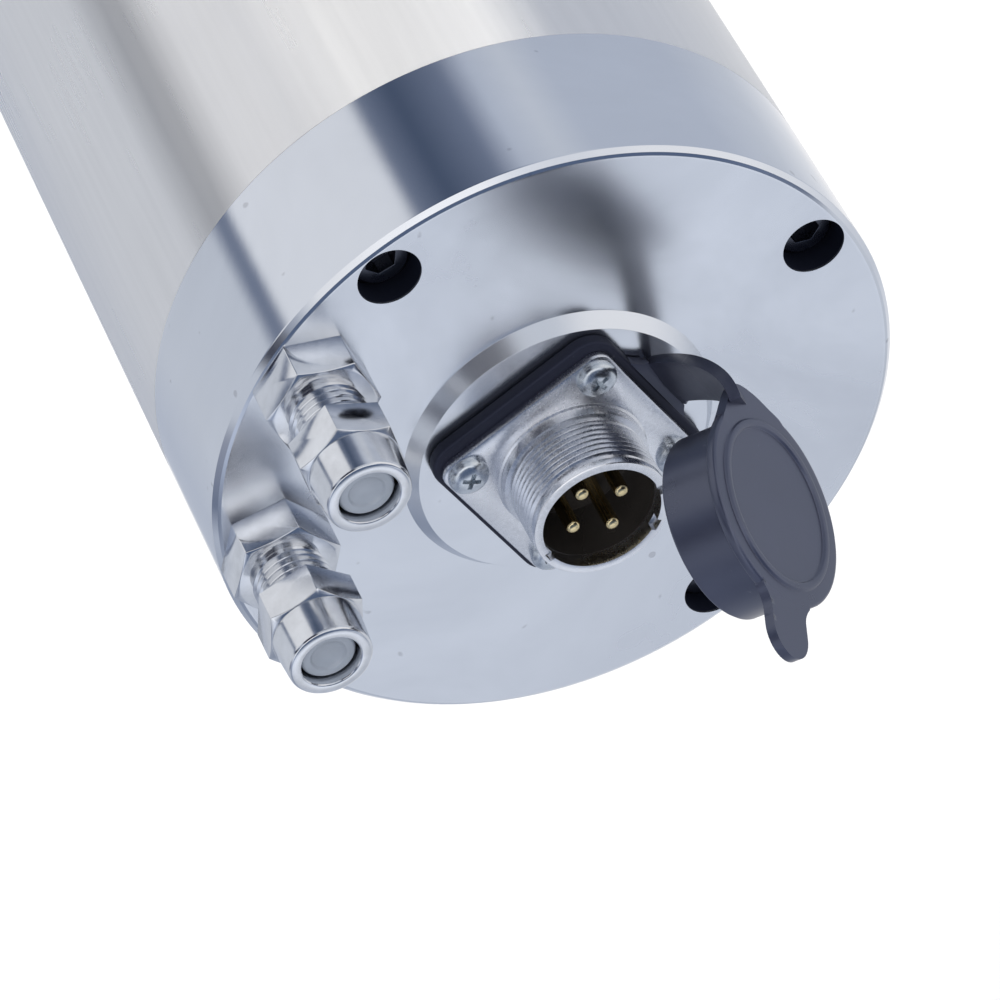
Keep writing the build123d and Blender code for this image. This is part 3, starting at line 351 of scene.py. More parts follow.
def slotted(piece, spot, size, degrees):
    """Cut a box out of the piece, turned about the upright."""
    turn = (0, 0, math.radians(degrees))
    tool = fresh("tool", bpy.ops.mesh.primitive_cube_add, size=1, location=spot, scale=size, rotation=turn)
    return carve(piece, tool)


def thickened(piece, height):
    """Pull a flat piece up into a plate."""
    bpy.ops.object.mode_set(mode="EDIT")
    bpy.ops.mesh.select_all(action="SELECT")
    bpy.ops.mesh.extrude_region_move(TRANSFORM_OT_translate={"value": (0, 0, height)})
    close_up()
    return piece


def soften(piece, width, segments=2, angle=40):
    """Break the sharp edges and keep the flat faces looking flat."""
    return modified(
        piece, "BEVEL", width=width, segments=segments, limit_method="ANGLE", angle_limit=math.radians(angle),
        use_clamp_overlap=True, harden_normals=False,
    )


def smooth(piece, angle=35, weighted=True):
    take(piece)
    bpy.ops.object.shade_smooth_by_angle(angle=math.radians(angle))
    if weighted:
        modified(piece, "WEIGHTED_NORMAL", keep_sharp=True, weight=80)
    return piece


def joined(name, pieces):
    """One piece of several shells."""
    fresh_start()
    for piece in pieces:
        piece.select_set(True)
    bpy.context.view_layer.objects.active = pieces[0]
    bpy.ops.object.join()
    pieces[0].name = name
    return pieces[0]


def thread_ridge(name, centre, root, crest, bottom, top, pitch, steps=96):
    """A closed ridge wound round an upright core, its ends run out into the core."""
    cx, cy, cz = centre
    piece = fresh(name, bpy.ops.mesh.primitive_circle_add, vertices=4, radius=pitch)
    inside = root - 0.25 * pitch
    section = ((inside, 0.0), (crest, 0.42 * pitch), (crest, 0.58 * pitch), (inside, pitch))
    for vertex, (radius, height) in zip(piece.data.vertices, section):
        vertex.co = (radius, 0, height)
    turns = max(1, int((top - bottom) / pitch))
    modified(
        piece, "SCREW", axis="Z", angle=2 * math.pi, screw_offset=pitch, iterations=turns, steps=steps,
        render_steps=steps,
    )
    bpy.ops.object.mode_set(mode="EDIT")
    bpy.ops.mesh.select_mode(type="EDGE")
    bpy.ops.mesh.select_all(action="DESELECT")
    bpy.ops.mesh.select_non_manifold()
    bpy.ops.mesh.edge_face_add()
    close_up()
    height = (turns + 1) * pitch
    squeeze = (top - bottom) / height
    for vertex in piece.data.vertices:
        x, y, z = vertex.co
        radius = math.hypot(x, y)
        near_end = min(z, height - z) / pitch
        limit = inside + (crest - inside) * min(1.0, max(0.0, near_end * 1.1))
        if radius > limit:
            x, y = x * limit / radius, y * limit / radius
        vertex.co = (cx + x, cy + y, cz + bottom + z * squeeze)
    return piece


def on_circle(radius, degrees, z=0.0):
    return Vector((radius * math.cos(math.radians(degrees)), radius * math.sin(math.radians(degrees)), z))


def ring_of(radius, count, first=45.0):
    """Spots spread evenly round the spindle's axis."""
    return [on_circle(radius, first + 360 / count * step) for step in range(count)]


def screw_holes(cover, body, face, up, through):
    """Sink a cover's four screw holes; up is 1 where the face looks up and -1 where it looks down."""
    deep = face - up * body.screw_sink - up * 5 * MM
    wide, narrow = body.screw_recess, 2.75 * MM
    for spot in ring_of(body.screw_pitch, 4):
        bored(cover, [(wide, face + up * MM), (wide, deep), (narrow, deep), (narrow, through)], spot)


def swing_matrix():
    """Carries the closed cap to where it hangs open."""
    pivot = Vector(SWING["pos_m"])
    turn = Matrix.Rotation(-math.radians(SWING["range_deg"][1]), 4, Vector(SWING["axis"]))
    return Matrix.Translation(pivot) @ turn @ Matrix.Translation(-pivot)


def painted(mesh, material):
    mesh.materials.clear()
    mesh.materials.append(material)


def dress(piece, body, slot_name, material, *nodes, angle=35, weighted=True):
    """Shade, paint and hang a finished piece, and let it stand for its nodes."""
    take(piece)
    bpy.ops.object.transform_apply(location=True, rotation=True, scale=True)
    smooth(piece, angle, weighted)
    painted(piece.data, material)
    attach(piece, body)
    if nodes:
        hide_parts(*nodes)
    return piece


# ------------------------------------------------------------------ material helpers


class Nodes:
    """A node tree under construction."""

    def __init__(self, tree):
        self.tree = tree

    def feed(self, socket, value):
        """Link a socket to another one, or set it to a number or a colour."""
        if isinstance(value, bpy.types.NodeSocket):
            self.tree.links.new(value, socket)
        elif isinstance(value, (int, float)):
            socket.default_value = value
        else:
            socket.default_value = (*value, 1)[:len(socket.default_value)]

    def add(self, kind, *values, named=None, **settings):
        """A new node; the values go to its first sockets and the named ones to sockets of that name."""
        node = self.tree.nodes.new(kind)
        for key, value in settings.items():
            setattr(node, key, value)
        for socket, value in zip(node.inputs, values):
            self.feed(socket, value)
        for key, value in (named or {}).items():
            self.feed(node.inputs[key], value)
        return node

    def spread(self, source, low_value, high_value, start=0.3, end=0.7):
        return self.add("ShaderNodeMapRange", source, start, end, low_value, high_value).outputs["Result"]

    def mix(self, factor, a, b):
        named = {"Factor": factor, "A": a, "B": b}
        return self.add("ShaderNodeMix", named=named, data_type="RGBA").outputs["Result"]

    def maths(self, operation, a, b=0.0):
        return self.add("ShaderNodeMath", a, b, operation=operation).outputs["Value"]

    def plus(self, a, b):
        return self.maths("ADD", a, b)

    def times(self, a, b):
        return self.maths("MULTIPLY", a, b)

    def distance(self, a, b):
        return self.maths("SQRT", self.plus(self.times(a, a), self.times(b, b)))

    def off_by(self, source, middle):
        """How far the source is from a middle value, either way."""
        return self.maths("ABSOLUTE", self.maths("SUBTRACT", source, middle))


class Finish(Nodes):
    """A node material under construction."""

    def __init__(self, name):
        self.material = bpy.data.materials.new(name)
        self.material.use_nodes = True
        super().__init__(self.material.node_tree)
        self.shader = self.tree.nodes["Principled BSDF"]
        self.place = self.add("ShaderNodeTexCoord").outputs["Object"]

    def coordinates(self):
        ways = self.add("ShaderNodeSeparateXYZ", self.place)
        return [ways.outputs[axis] for axis in "XYZ"]

    def stretch(self, scale):
        named = {"Vector": self.place, "Scale": scale}
        return self.add("ShaderNodeMapping", named=named).outputs["Vector"]

    def noise(self, scale, detail=4, rough=0.55, vector=None, distortion=0.0):
        named = {"Scale": scale, "Detail": detail, "Roughness": rough, "Distortion": distortion}
        node = self.add("ShaderNodeTexNoise", vector or self.place, named=named)
        return node.outputs["Fac"]

    def bump(self, height, strength, distance, after=None):
        named = {"Strength": strength, "Distance": distance, "Height": height}
        if after:
            named["Normal"] = after
        return self.add("ShaderNodeBump", named=named).outputs["Normal"]

    def set(self, **values):
        for key, value in values.items():
            self.feed(self.shader.inputs[key.replace("_", " ")], value)
        return self.material


def tint(colour, factor):
    return tuple(min(1.0, channel * factor) for channel in colour)


def satin_tube(settings):
    """Satin stainless tube: soft grain along the axis, handling marks, a duller zone and one painted reflection,
    a darker streak along the axis painted into the colour.
    """
    finish = Finish("satin stainless")
    colour = settings.tube_colour
    matt = settings.tube_roughness
    grain = finish.noise(1.0, 2, 0.5, finish.stretch((700, 700, 24)))
    pebble = finish.noise(420.0, 2, 0.5)
    patches = finish.noise(28.0, 3, 0.5)
    x, y, _ = finish.coordinates()
    angle = finish.maths("ARCTAN2", y, x)
    off_dull = finish.off_by(angle, math.radians(settings.dull_azimuth))
    dull = finish.spread(off_dull, 0.25, 0.92, math.radians(11), math.radians(22))
    tone = finish.mix(finish.spread(grain, 0.0, 1.0), tint(colour, 0.97), tint(colour, 1.03))
    tone = finish.mix(finish.spread(patches, 0.0, 0.3), tone, tint(colour, 0.95))
    # Painted reflection: the colour darkens in a narrow streak along the axis at this azimuth, standing in for a
    # dark reflection.
    off_painted_streak = finish.off_by(angle, math.radians(settings.painted_streak_azimuth))
    band = finish.spread(off_painted_streak, 0.8, 0.0, math.radians(1.5), math.radians(8))
    tone = finish.mix(band, tone, tint(colour, 0.62))
    shine = finish.plus(finish.spread(grain, -0.03, 0.03), finish.spread(patches, matt - 0.03, matt + 0.05))
    fine = finish.bump(grain, 0.02, 0.00001, finish.bump(pebble, 0.05, 0.00001))
    return finish.set(Base_Color=tone, Metallic=dull, Roughness=shine, Normal=fine)


def polished_cover(settings):
    """Mirror-turned steel: keener on the rim than on the face, faint smears, and painted shade inside the screw
    recesses.
    """
    finish = Finish("polished steel")
    colour = settings.cover_colour
    matt = settings.cover_roughness
    smears = finish.noise(24.0, 5, 0.62, None, 0.6)
    waves = finish.noise(70.0, 2, 0.5)
    fine = finish.noise(260.0, 4, 0.6)
    marks = finish.noise(330.0, 1, 0.4)
    x, y, z = finish.coordinates()
    face = finish.spread(finish.distance(x, y), 1.0, 0.0, 0.0485, 0.0492)
    spot = settings.screw_pitch * math.sqrt(0.5)
    across, along = (finish.maths("SUBTRACT", finish.maths("ABSOLUTE", way), spot) for way in (x, y))
    # Painted shade: inside the screw recesses, below the face, the colour turns dark navy and the steel turns
    # matt.
    hole = settings.screw_recess
    shaded_recess = finish.spread(finish.distance(across, along), 1.0, 0.0, hole + 0.02 * MM, hole + 0.1 * MM)
    below = finish.spread(finish.maths("ABSOLUTE", z), 1.0, 0.0, REAR_FACE - 0.35 * MM, REAR_FACE - 0.12 * MM)
    dark = finish.times(shaded_recess, below)
    tone = finish.mix(finish.spread(smears, 0.0, 1.0, 0.35, 0.7), colour, tint(colour, 0.92))
    tone = finish.mix(finish.spread(marks, 0.0, 0.4, 0.76, 0.80), tone, (0.36, 0.36, 0.38))
    # painted shade in the screw recesses
    tone = finish.mix(dark, tone, (0.05, 0.058, 0.095))
    keen = finish.spread(smears, matt - 0.03, matt + 0.03)
    soft = finish.spread(smears, matt + 0.11, matt + 0.21)
    rim = finish.maths("SUBTRACT", 1.0, face)
    shine = finish.plus(finish.plus(finish.times(soft, face), finish.times(keen, rim)), finish.times(dark, 0.4))
    relief = finish.bump(smears, 0.05, 0.0004, finish.bump(waves, 0.02, 0.0003, finish.bump(fine, 0.02, 0.00005)))
    return finish.set(Base_Color=tone, Metallic=1.0, Roughness=shine, Normal=relief)


def grainy_metal(name, colour, roughness, grain_size=900.0, grain_depth=0.00003, metallic=1.0, dark=0.8):
    """Plated or ground metal with a fine even grain and slight stains."""
    finish = Finish(name)
    grain = finish.noise(grain_size, 3, 0.6)
    stains = finish.noise(70.0, 4, 0.6)
    tone = finish.mix(finish.spread(grain, 0.0, 1.0), tint(colour, 0.9), tint(colour, 1.06))
    tone = finish.mix(finish.spread(stains, 0.0, 0.5, 0.45, 0.75), tone, tint(colour, dark))
    shine = finish.plus(
        finish.spread(grain, -0.05, 0.05), finish.spread(stains, max(0.02, roughness - 0.05), roughness + 0.08)
    )
    fine = finish.bump(grain, 0.25, grain_depth)
    return finish.set(Base_Color=tone, Metallic=metallic, Roughness=shine, Normal=fine)


def rubber(name, colour, roughness=0.5, grain=1400.0, index=1.5):
    """Moulded rubber: dusty bloom, fine grain and a soft sheen."""
    finish = Finish(name)
    fine = finish.noise(grain, 3, 0.6)
    dust = finish.noise(60.0, 5, 0.65)
    specks = finish.noise(900.0, 1, 0.4)
    tone = finish.mix(finish.spread(dust, 0.0, 1.0, 0.35, 0.75), tint(colour, 0.85), tint(colour, 1.3))
    tone = finish.mix(finish.spread(specks, 0.0, 0.35, 0.80, 0.86), tone, (0.16, 0.17, 0.20))
    shine = finish.spread(dust, roughness - 0.05, roughness + 0.08)
    relief = finish.bump(fine, 0.15, 0.00002)
    return finish.set(
        Base_Color=tone, Roughness=shine, Normal=relief, IOR=index, Specular_Tint=(0.72, 0.78, 1.0)
    )


def moulded_plastic(name, colour, roughness=0.35):
    finish = Finish(name)
    fine = finish.noise(1100.0, 3, 0.6)
    cloud = finish.noise(120.0, 3, 0.5)
    tone = finish.mix(finish.spread(cloud, 0.0, 1.0), tint(colour, 0.85), tint(colour, 1.25))
    shine = finish.spread(cloud, roughness - 0.05, roughness + 0.07)
    relief = finish.bump(fine, 0.15, 0.00002)
    return finish.set(Base_Color=tone, Roughness=shine, Normal=relief)


def milky_plug(settings):
    finish = Finish("milky plastic")
    cloud = finish.noise(300.0, 3, 0.5)
    tone = finish.mix(
        finish.spread(cloud, 0.0, 1.0), tint(settings.plug_colour, 0.95), tint(settings.plug_colour, 1.06)
    )
    relief = finish.bump(cloud, 0.1, 0.00003)
    return finish.set(Base_Color=tone, Roughness=finish.spread(cloud, 0.28, 0.38), Normal=relief)


def laid_wire(name, colour, pitch=1200.0):
    """Varnished wire or stacked sheet: fine even bands."""
    finish = Finish(name)
    bands = finish.noise(1.0, 2, 0.5, finish.stretch((pitch * 0.1, pitch * 0.1, pitch)))
    cloud = finish.noise(90.0, 3, 0.5)
    tone = finish.mix(finish.spread(bands, 0.0, 1.0), tint(colour, 0.7), tint(colour, 1.15))
    shine = finish.spread(cloud, 0.35, 0.5)
    relief = finish.bump(bands, 0.4, 0.00008)
    return finish.set(Base_Color=tone, Metallic=0.85, Roughness=shine, Normal=relief)


# ------------------------------------------------------------------ operators


class BuildOperator(bpy.types.Operator):
    bl_options = {"REGISTER"}


class SPINDLE_OT_body(BuildOperator):
    """Body tube and polished rear cover with its boss, ports and screw recesses"""
    bl_idname = "spindle.body"
    bl_label = "Body and rear cover"

    def execute(self, context):
        body = context.scene.spindle_body
        fit = context.scene.spindle_fittings
        inner, bottom, top = BODY_R - 2.5 * MM, TUBE_BOTTOM + HAIR, TUBE_TOP - HAIR
        tube = turned("tube_shell", [(inner, bottom), (BODY_R, bottom), (BODY_R, top), (inner, top)], sides=256)
        soften(tube, 0.22 * MM)
        dress(tube, "housing", "stainless", satin_tube(body), "body_tube")

        chamfer = body.cover_chamfer
        cover = turned("rear_cover_shell", [
            (10.3 * MM, BOSS_TOP), (body.boss_top, BOSS_TOP), (body.boss_base, REAR_FACE),
            (BODY_R - chamfer - 0.3 * MM, REAR_FACE), (BODY_R - 0.70 * MM, REAR_FACE - 0.2 * MM),
            (BODY_R - 0.06 * MM, REAR_FACE - chamfer), (BODY_R, REAR_FACE - chamfer - 0.2 * MM),
            (BODY_R, TUBE_TOP + HAIR), (34.0 * MM, TUBE_TOP + HAIR),
            *profile(REAR_FACE, (34.0, -9.0), (10.3, -9.0)),
        ], sides=256)
        screw_holes(cover, body, REAR_FACE, 1, TUBE_TOP - MM)
        for azimuth in FITTING_AZIMUTHS.values():
            bored(cover, profile(REAR_FACE, (4.86, 1), (4.86, -12)), on_circle(fit.pitch_radius, azimuth), 48)
        soften(cover, 0.12 * MM, 2, 30)
        dress(cover, "housing", "polished_steel", polished_cover(body), "rear_cover", angle=18)
        return {"FINISHED"}


class SPINDLE_OT_cover_screws(BuildOperator):
    """Socket head cap screws sunk into the rear and front covers"""
    bl_idname = "spindle.cover_screws"
    bl_label = "Cover screws"

    def execute(self, context):
        body = context.scene.spindle_body
        dark = grainy_metal("blackened steel", body.screw_colour, 0.3, 1200.0)
        for name, face, up, node in (
            ("rear_cap_screws", REAR_FACE, 1, "cover_screws"),
            ("front_cap_head_screws", FRONT_FACE, -1, "front_cover_screws"),
        ):
            heads = []
            tip = low(node).z if up > 0 else high(node).z
            top = face - up * body.screw_sink
            outline = profile(top, (2.5, -5.0 * up), (4.25, -5.0 * up), (4.25, -0.5 * up), (3.75, 0))
            bottom, mouth = sorted((top - up * 2.5 * MM, top + up * 0.5 * MM))
            for quarter, spot in enumerate(ring_of(body.screw_pitch, 4)):
                head = turned("head", [(2.5 * MM, tip), *outline], spot, 64, solid=True)
                carve(head, hexagon("socket", spot, 4.0 * MM, bottom, mouth, 12 + 25 * quarter))
                heads.append(soften(head, 0.12 * MM, 2, 50))
            screws = joined(name, heads)
            dress(screws, "housing", "screw_steel", dark, node)
        return {"FINISHED"}


class SPINDLE_OT_power_socket(BuildOperator):
    """Square-flanged power socket: threaded shell, pin carrier, pins and screws"""
    bl_idname = "spindle.power_socket"
    bl_label = "Power socket"

    def execute(self, context):
        sock = context.scene.spindle_socket
        bottom = low("connector_shell").z
        mouth = high("connector_shell").z
        liner_top = high("socket_liner").z
        plate_low = BOSS_TOP + 2.0 * MM
        plate_top = plate_low + 1.3 * MM
        root = sock.barrel_radius - 0.45 * sock.thread_pitch
        rim = sock.barrel_radius - 0.12 * MM

        plate = rounded_square("flange", sock.flange_side, sock.flange_corner, plate_low, plate_top)
        bored(plate, profile(plate_low, (9.6, -1)) + profile(plate_top, (9.6, 1)), sides=96)
        soften(plate, 0.22 * MM, 2, 40)
        barrel = turned("barrel", [
            (sock.bore_radius, bottom), (10.1 * MM, bottom),
            *profile(plate_low, (10.1, 0.3), (10.95, 0.3)),
            *profile(plate_top, (10.95, 0.12), (10.6, 0.28), (10.6, 1.8)),
            (root, plate_top + 1.95 * MM), (root, mouth - 1.3 * MM),
            (rim, mouth - 1.15 * MM), (rim, mouth - 0.12 * MM), (rim - 0.12 * MM, mouth),
            (sock.mouth_radius, mouth),
            (sock.mouth_radius, liner_top + HAIR), (sock.bore_radius, liner_top + HAIR),
        ], sides=192)
        for azimuth, width in ((-136.0, 1.6), (-14.0, 1.8), (28.0, 1.6)):
            notch = on_circle(sock.mouth_radius, azimuth, mouth)
            slotted(barrel, notch, (1.3 * MM, width * MM, 2.6 * MM), azimuth)
        ridge = thread_ridge(
            "thread", (0, 0, 0), root, sock.barrel_radius, plate_top + 1.7 * MM, mouth - 1.2 * MM,
            sock.thread_pitch, 144,
        )
        soften(barrel, 0.08 * MM, 2, 50)
        nickel = grainy_metal("satin nickel", sock.shell_colour, 0.24, 1500.0, 0.00004)
        shell = joined("socket_shell", [plate, barrel, ridge])
        dress(shell, "housing", "socket_nickel", nickel, "connector_shell", weighted=False)

        floor = high("connector_pins").z - 8.9 * MM
        carrier = turned("pin_carrier", [
            (9.0 * MM, low("connector_insulator").z), *profile(liner_top, (9.0, 0), (8.55, 0)),
            *profile(floor, (8.5, 0), (6.2, 0), (6.0, 0.25), (0.5, 0.25)),
        ], sides=128, solid=True)
        soften(carrier, 0.1 * MM, 2, 40)
        plastic = moulded_plastic("black phenolic", sock.insulator_colour, 0.22)
        dress(carrier, "housing", "insulator_plastic", plastic, "connector_insulator", "socket_liner")

        r = sock.pin_radius
        tip = high("connector_pins").z + 0.8 * MM
        outline = [
            (r, low("connector_pins").z), (r, tip - 0.6 * r), (0.93 * r, tip - 0.3 * r),
            (0.72 * r, tip - 0.1 * r), (0.42 * r, tip - 0.02 * r), (0.12 * r, tip),
        ]
        pins = [turned("pin", outline, spot, 48, solid=True) for spot in ring_of(sock.pin_circle, 4)]
        gold = grainy_metal("gilded brass", sock.pin_colour, 0.16, 1400.0, 0.00001)
        pins = joined("contact_pins", pins)
        dress(pins, "housing", "gold_plate", gold, "connector_pins", angle=50, weighted=False)

        crown = high("connector_screws").z
        outline = [
            (1.5 * MM, low("connector_screws").z), *profile(plate_top, (1.5, 0), (2.9, 0), (2.9, 0.55)),
            *profile(crown, (2.75, -0.75), (2.4, -0.38), (1.8, -0.12), (1.0, 0)),
        ]
        screws = []
        for quarter, spot in enumerate(ring_of(15.6 * MM, 4, 0)):
            head = turned("head", outline, spot, 64, solid=True)
            for arm in (20, 110):
                slot = (spot.x, spot.y, crown - 0.45 * MM)
                slotted(head, slot, (2.7 * MM, 0.66 * MM, 1.6 * MM), arm + 33 * quarter)
            screws.append(soften(head, 0.05 * MM, 1, 50))
        zinc = grainy_metal("bright zinc", (0.66, 0.70, 0.74), 0.22, 1300.0, 0.00005)
        dress(joined("flange_screws", screws), "housing", "screw_steel", zinc, "connector_screws")
        return {"FINISHED"}


STRAP_ROOT = 16.9 * MM
STRAP_LEVEL = BOSS_TOP + 1.0 * MM
GASKET_SHIFT = 0.2 * MM


def strap_frame(t):
    """Centre, side direction and up direction of the strap, from its root (0) to the cap (1)."""
    matrix = swing_matrix()
    turn = matrix.to_3x3()
    slope = on_circle(1, 45) * math.cos(math.radians(26)) + Vector((0, 0, math.sin(math.radians(26))))
    start = on_circle(STRAP_ROOT, 45.5, STRAP_LEVEL)
    end = matrix @ on_circle(14.2 * MM, 80, REAR_FACE + CAP_LIFT - 0.85 * MM)
    a, b, c, d = start, start + slope * 0.8 * MM, end + turn @ on_circle(5.6 * MM, 73.3), end
    centre = a * (1 - t) ** 3 + b * 3 * t * (1 - t) ** 2 + c * 3 * t * t * (1 - t) + d * t ** 3
    heading = ((b - a) * (1 - t) ** 2 + (c - b) * 2 * t * (1 - t) + (d - c) * t * t).normalized()
    side = on_circle(1, 135) * (1 - t) + (turn @ on_circle(1, 163.3)) * t
    side = (side - heading * side.dot(heading)).normalized()
    roll = math.radians(-5.6 * (1 - t) ** 2 - 46.3 * t * (1 - t) - 22.5 * t * t)
    side = side * math.cos(roll) + heading.cross(side) * math.sin(roll)
    return centre, side, heading.cross(side)


class SPINDLE_OT_gasket_strap(BuildOperator):
    """Rubber gasket under the flange and the strap that holds the dust cap"""
    bl_idname = "spindle.gasket_strap"
    bl_label = "Gasket and strap"

    def execute(self, context):
        soft = context.scene.spindle_rubber
        black = rubber("gasket rubber", tint(soft.gasket_colour, 0.6), 0.45, index=1.3)
        limp = rubber("strap rubber", soft.gasket_colour, 0.38, index=1.6)
        gasket = rounded_square("gasket", soft.gasket_side, soft.gasket_corner, BOSS_TOP, BOSS_TOP + 2.0 * MM)
        toward = on_circle(1, 45)
        for vertex in gasket.data.vertices:
            reach = vertex.co.dot(toward)
            vertex.co += toward * (reach * (soft.gasket_depth / soft.gasket_side - 1) + GASKET_SHIFT)
        bored(gasket, profile(BOSS_TOP, (10.4, -1), (10.4, 3)), sides=96)
        soften(gasket, 0.45 * MM, 3, 50)
        dress(gasket, "housing", "black_rubber", black, "socket_gasket")

        for name, first, last, pair, nodes in (
            ("strap_root", 0.0, 0.6, ("housing", "strap_body"), ("cap_strap",)),
            ("strap_end", 0.6, 1.0, ("strap_body", "cap_body"), ()),
        ):
            # the strips overlap, the first a hair thinner than the second, so that no seam shows
            less = 0.016 * MM if nodes else 0.0
            strip = self.strip(name, soft, max(0.0, first - 0.04), min(1.0, last + 0.04), less)
            smooth(strip, 50, False)
            painted(strip.data, limp)
            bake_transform(strip)
            if nodes:
                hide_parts(*nodes)
        return {"FINISHED"}

    def strip(self, name, soft, first, last, less):
        """A flat strip bent along the strap's run, flared where it leaves the gasket, then thickened."""
        strip = fresh(name, bpy.ops.mesh.primitive_grid_add, x_subdivisions=40, y_subdivisions=6, size=1)
        edge = soft.gasket_depth / 2 + GASKET_SHIFT
        flat = 0.35 if first == 0.0 else 0.0
        for vertex in strip.data.vertices:
            run = vertex.co.x + 0.5
            if run < flat:
                out = 13.0 * MM + (STRAP_ROOT - 13.0 * MM) * run / flat
                centre, side = on_circle(out, 45, STRAP_LEVEL), on_circle(1, 135)
            else:
                t = first + (last - first) * (run - flat) / (1 - flat)
                out = STRAP_ROOT + 16.0 * MM * t
                centre, side = strap_frame(t)[:2]
            flare = 3.4 * MM * max(0.0, min(1.0, 1 - (out - edge) / (4.2 * MM))) ** 2.2
            vertex.co = centre + side * vertex.co.y * (soft.strap_width - less + 2 * flare)
        modified(strip, "SOLIDIFY", thickness=soft.strap_height - less, offset=0.0)
        return soften(strip, 0.4 * MM, 3, 50)


# The disc's face lies this much below its raised ring, in millimetres; tab and lug stay a hair below that.
FACE_DEPTH = 0.4
SUNK = 0.41 * MM


class SPINDLE_OT_dust_cap(BuildOperator):
    """Rubber dust cap, made over the socket and then hung open"""
    bl_idname = "spindle.dust_cap"
    bl_label = "Dust cap"

    def execute(self, context):
        soft = context.scene.spindle_rubber
        top = REAR_FACE + CAP_LIFT
        ring = soft.ring_radius
        edge = ((0.75, -0.4), (0.62, -0.34), (0.52, -0.08), (0.38, 0))
        cap = turned("dust_cap_shell", [
            *profile(top, (0.6, -2.2), (10.35, -2.2), (10.35, -9.7), (10.65, -10.0), (12.6, -10.0)),
            *profile(top, (12.9, -9.6), (12.9, -2.2), (13.2, -1.9), (14.1, -1.9), (14.4, -1.6), (14.4, -0.75)),
            *profile(top, (14.25, -0.5), (13.9, -0.38)),
            *((ring + off * MM, top + height * MM) for off, height in edge),
            *((ring - off * MM, top + height * MM) for off, height in reversed(edge)),
            *profile(top, (0.6, -FACE_DEPTH)),
        ], sides=160, solid=True)
        tab = self.paddle("tab", 236, soft.skirt_radius, soft.tab_reach, soft.tab_width, top, 1.8 * MM)
        carve(cap, tab, "UNION")
        carve(cap, self.lug("lug", top - 1.9 * MM, top - SUNK), "UNION")
        soften(cap, 0.22 * MM, 2, 62)
        cap.matrix_world = swing_matrix()
        black = rubber("cap rubber", soft.cap_colour, 0.30, index=2.05)
        dress(cap, "cap_body", "cap_rubber", black, "dust_cap", angle=45)
        return {"FINISHED"}

    def paddle(self, name, azimuth, inner, reach, width, top, height):
        """A flat tongue on the disc, flared where it joins and round at its tip."""
        paddle = fresh(name, bpy.ops.mesh.primitive_grid_add, x_subdivisions=24, y_subdivisions=10, size=1)
        turn = Matrix.Rotation(math.radians(azimuth), 4, "Z")
        half = width / 2
        for vertex in paddle.data.vertices:
            out = inner + (reach - inner) * (vertex.co.x + 0.5)
            wide = half
            centre = reach - half
            if out > centre:
                # the tip's rows follow a half circle
                angle = (out - centre) / half * math.pi / 2
                out = centre + half * math.sin(angle)
                wide = half * max(0.02, math.cos(angle))
            near = max(0.0, min(1.0, 1 - (out - 13.6 * MM) / (2.8 * MM)))
            wide += 1.5 * MM * near ** 2
            vertex.co = turn @ Vector((out, vertex.co.y * 2 * wide, top - height))
        return thickened(paddle, height - SUNK)

    def lug(self, name, bottom, top):
        """The disc's edge drawn out to one side, where the strap runs in."""
        marks = [Vector((x * MM, y * MM, 0)) for x, y in (
            (-4.5, 12.9), (-2.2, 14.6), (0.2, 15.9), (2.2, 16.75), (3.4, 16.7), (4.8, 15.9), (6.0, 14.95),
            (7.3, 13.7), (8.9, 11.8), (10.6, 9.75), (10.4, 8.2), (6.5, 7.2), (-1.5, 10.2),
        )]
        outline = []
        for index in range(len(marks)):
            a, b, c, d = (marks[(index + step) % len(marks)] for step in (-1, 0, 1, 2))
            for step in range(4):
                t = step / 4
                outline.append(0.5 * (2 * b + (c - a) * t + (2 * a - 5 * b + 4 * c - d) * t * t
                                      + (3 * b - a - 3 * c + d) * t ** 3))
        lug = fresh(name, bpy.ops.mesh.primitive_circle_add, vertices=len(outline), radius=1, fill_type="NGON")
        for vertex, mark in zip(lug.data.vertices, outline):
            vertex.co = mark + Vector((0, 0, bottom))
        return thickened(lug, top - bottom)


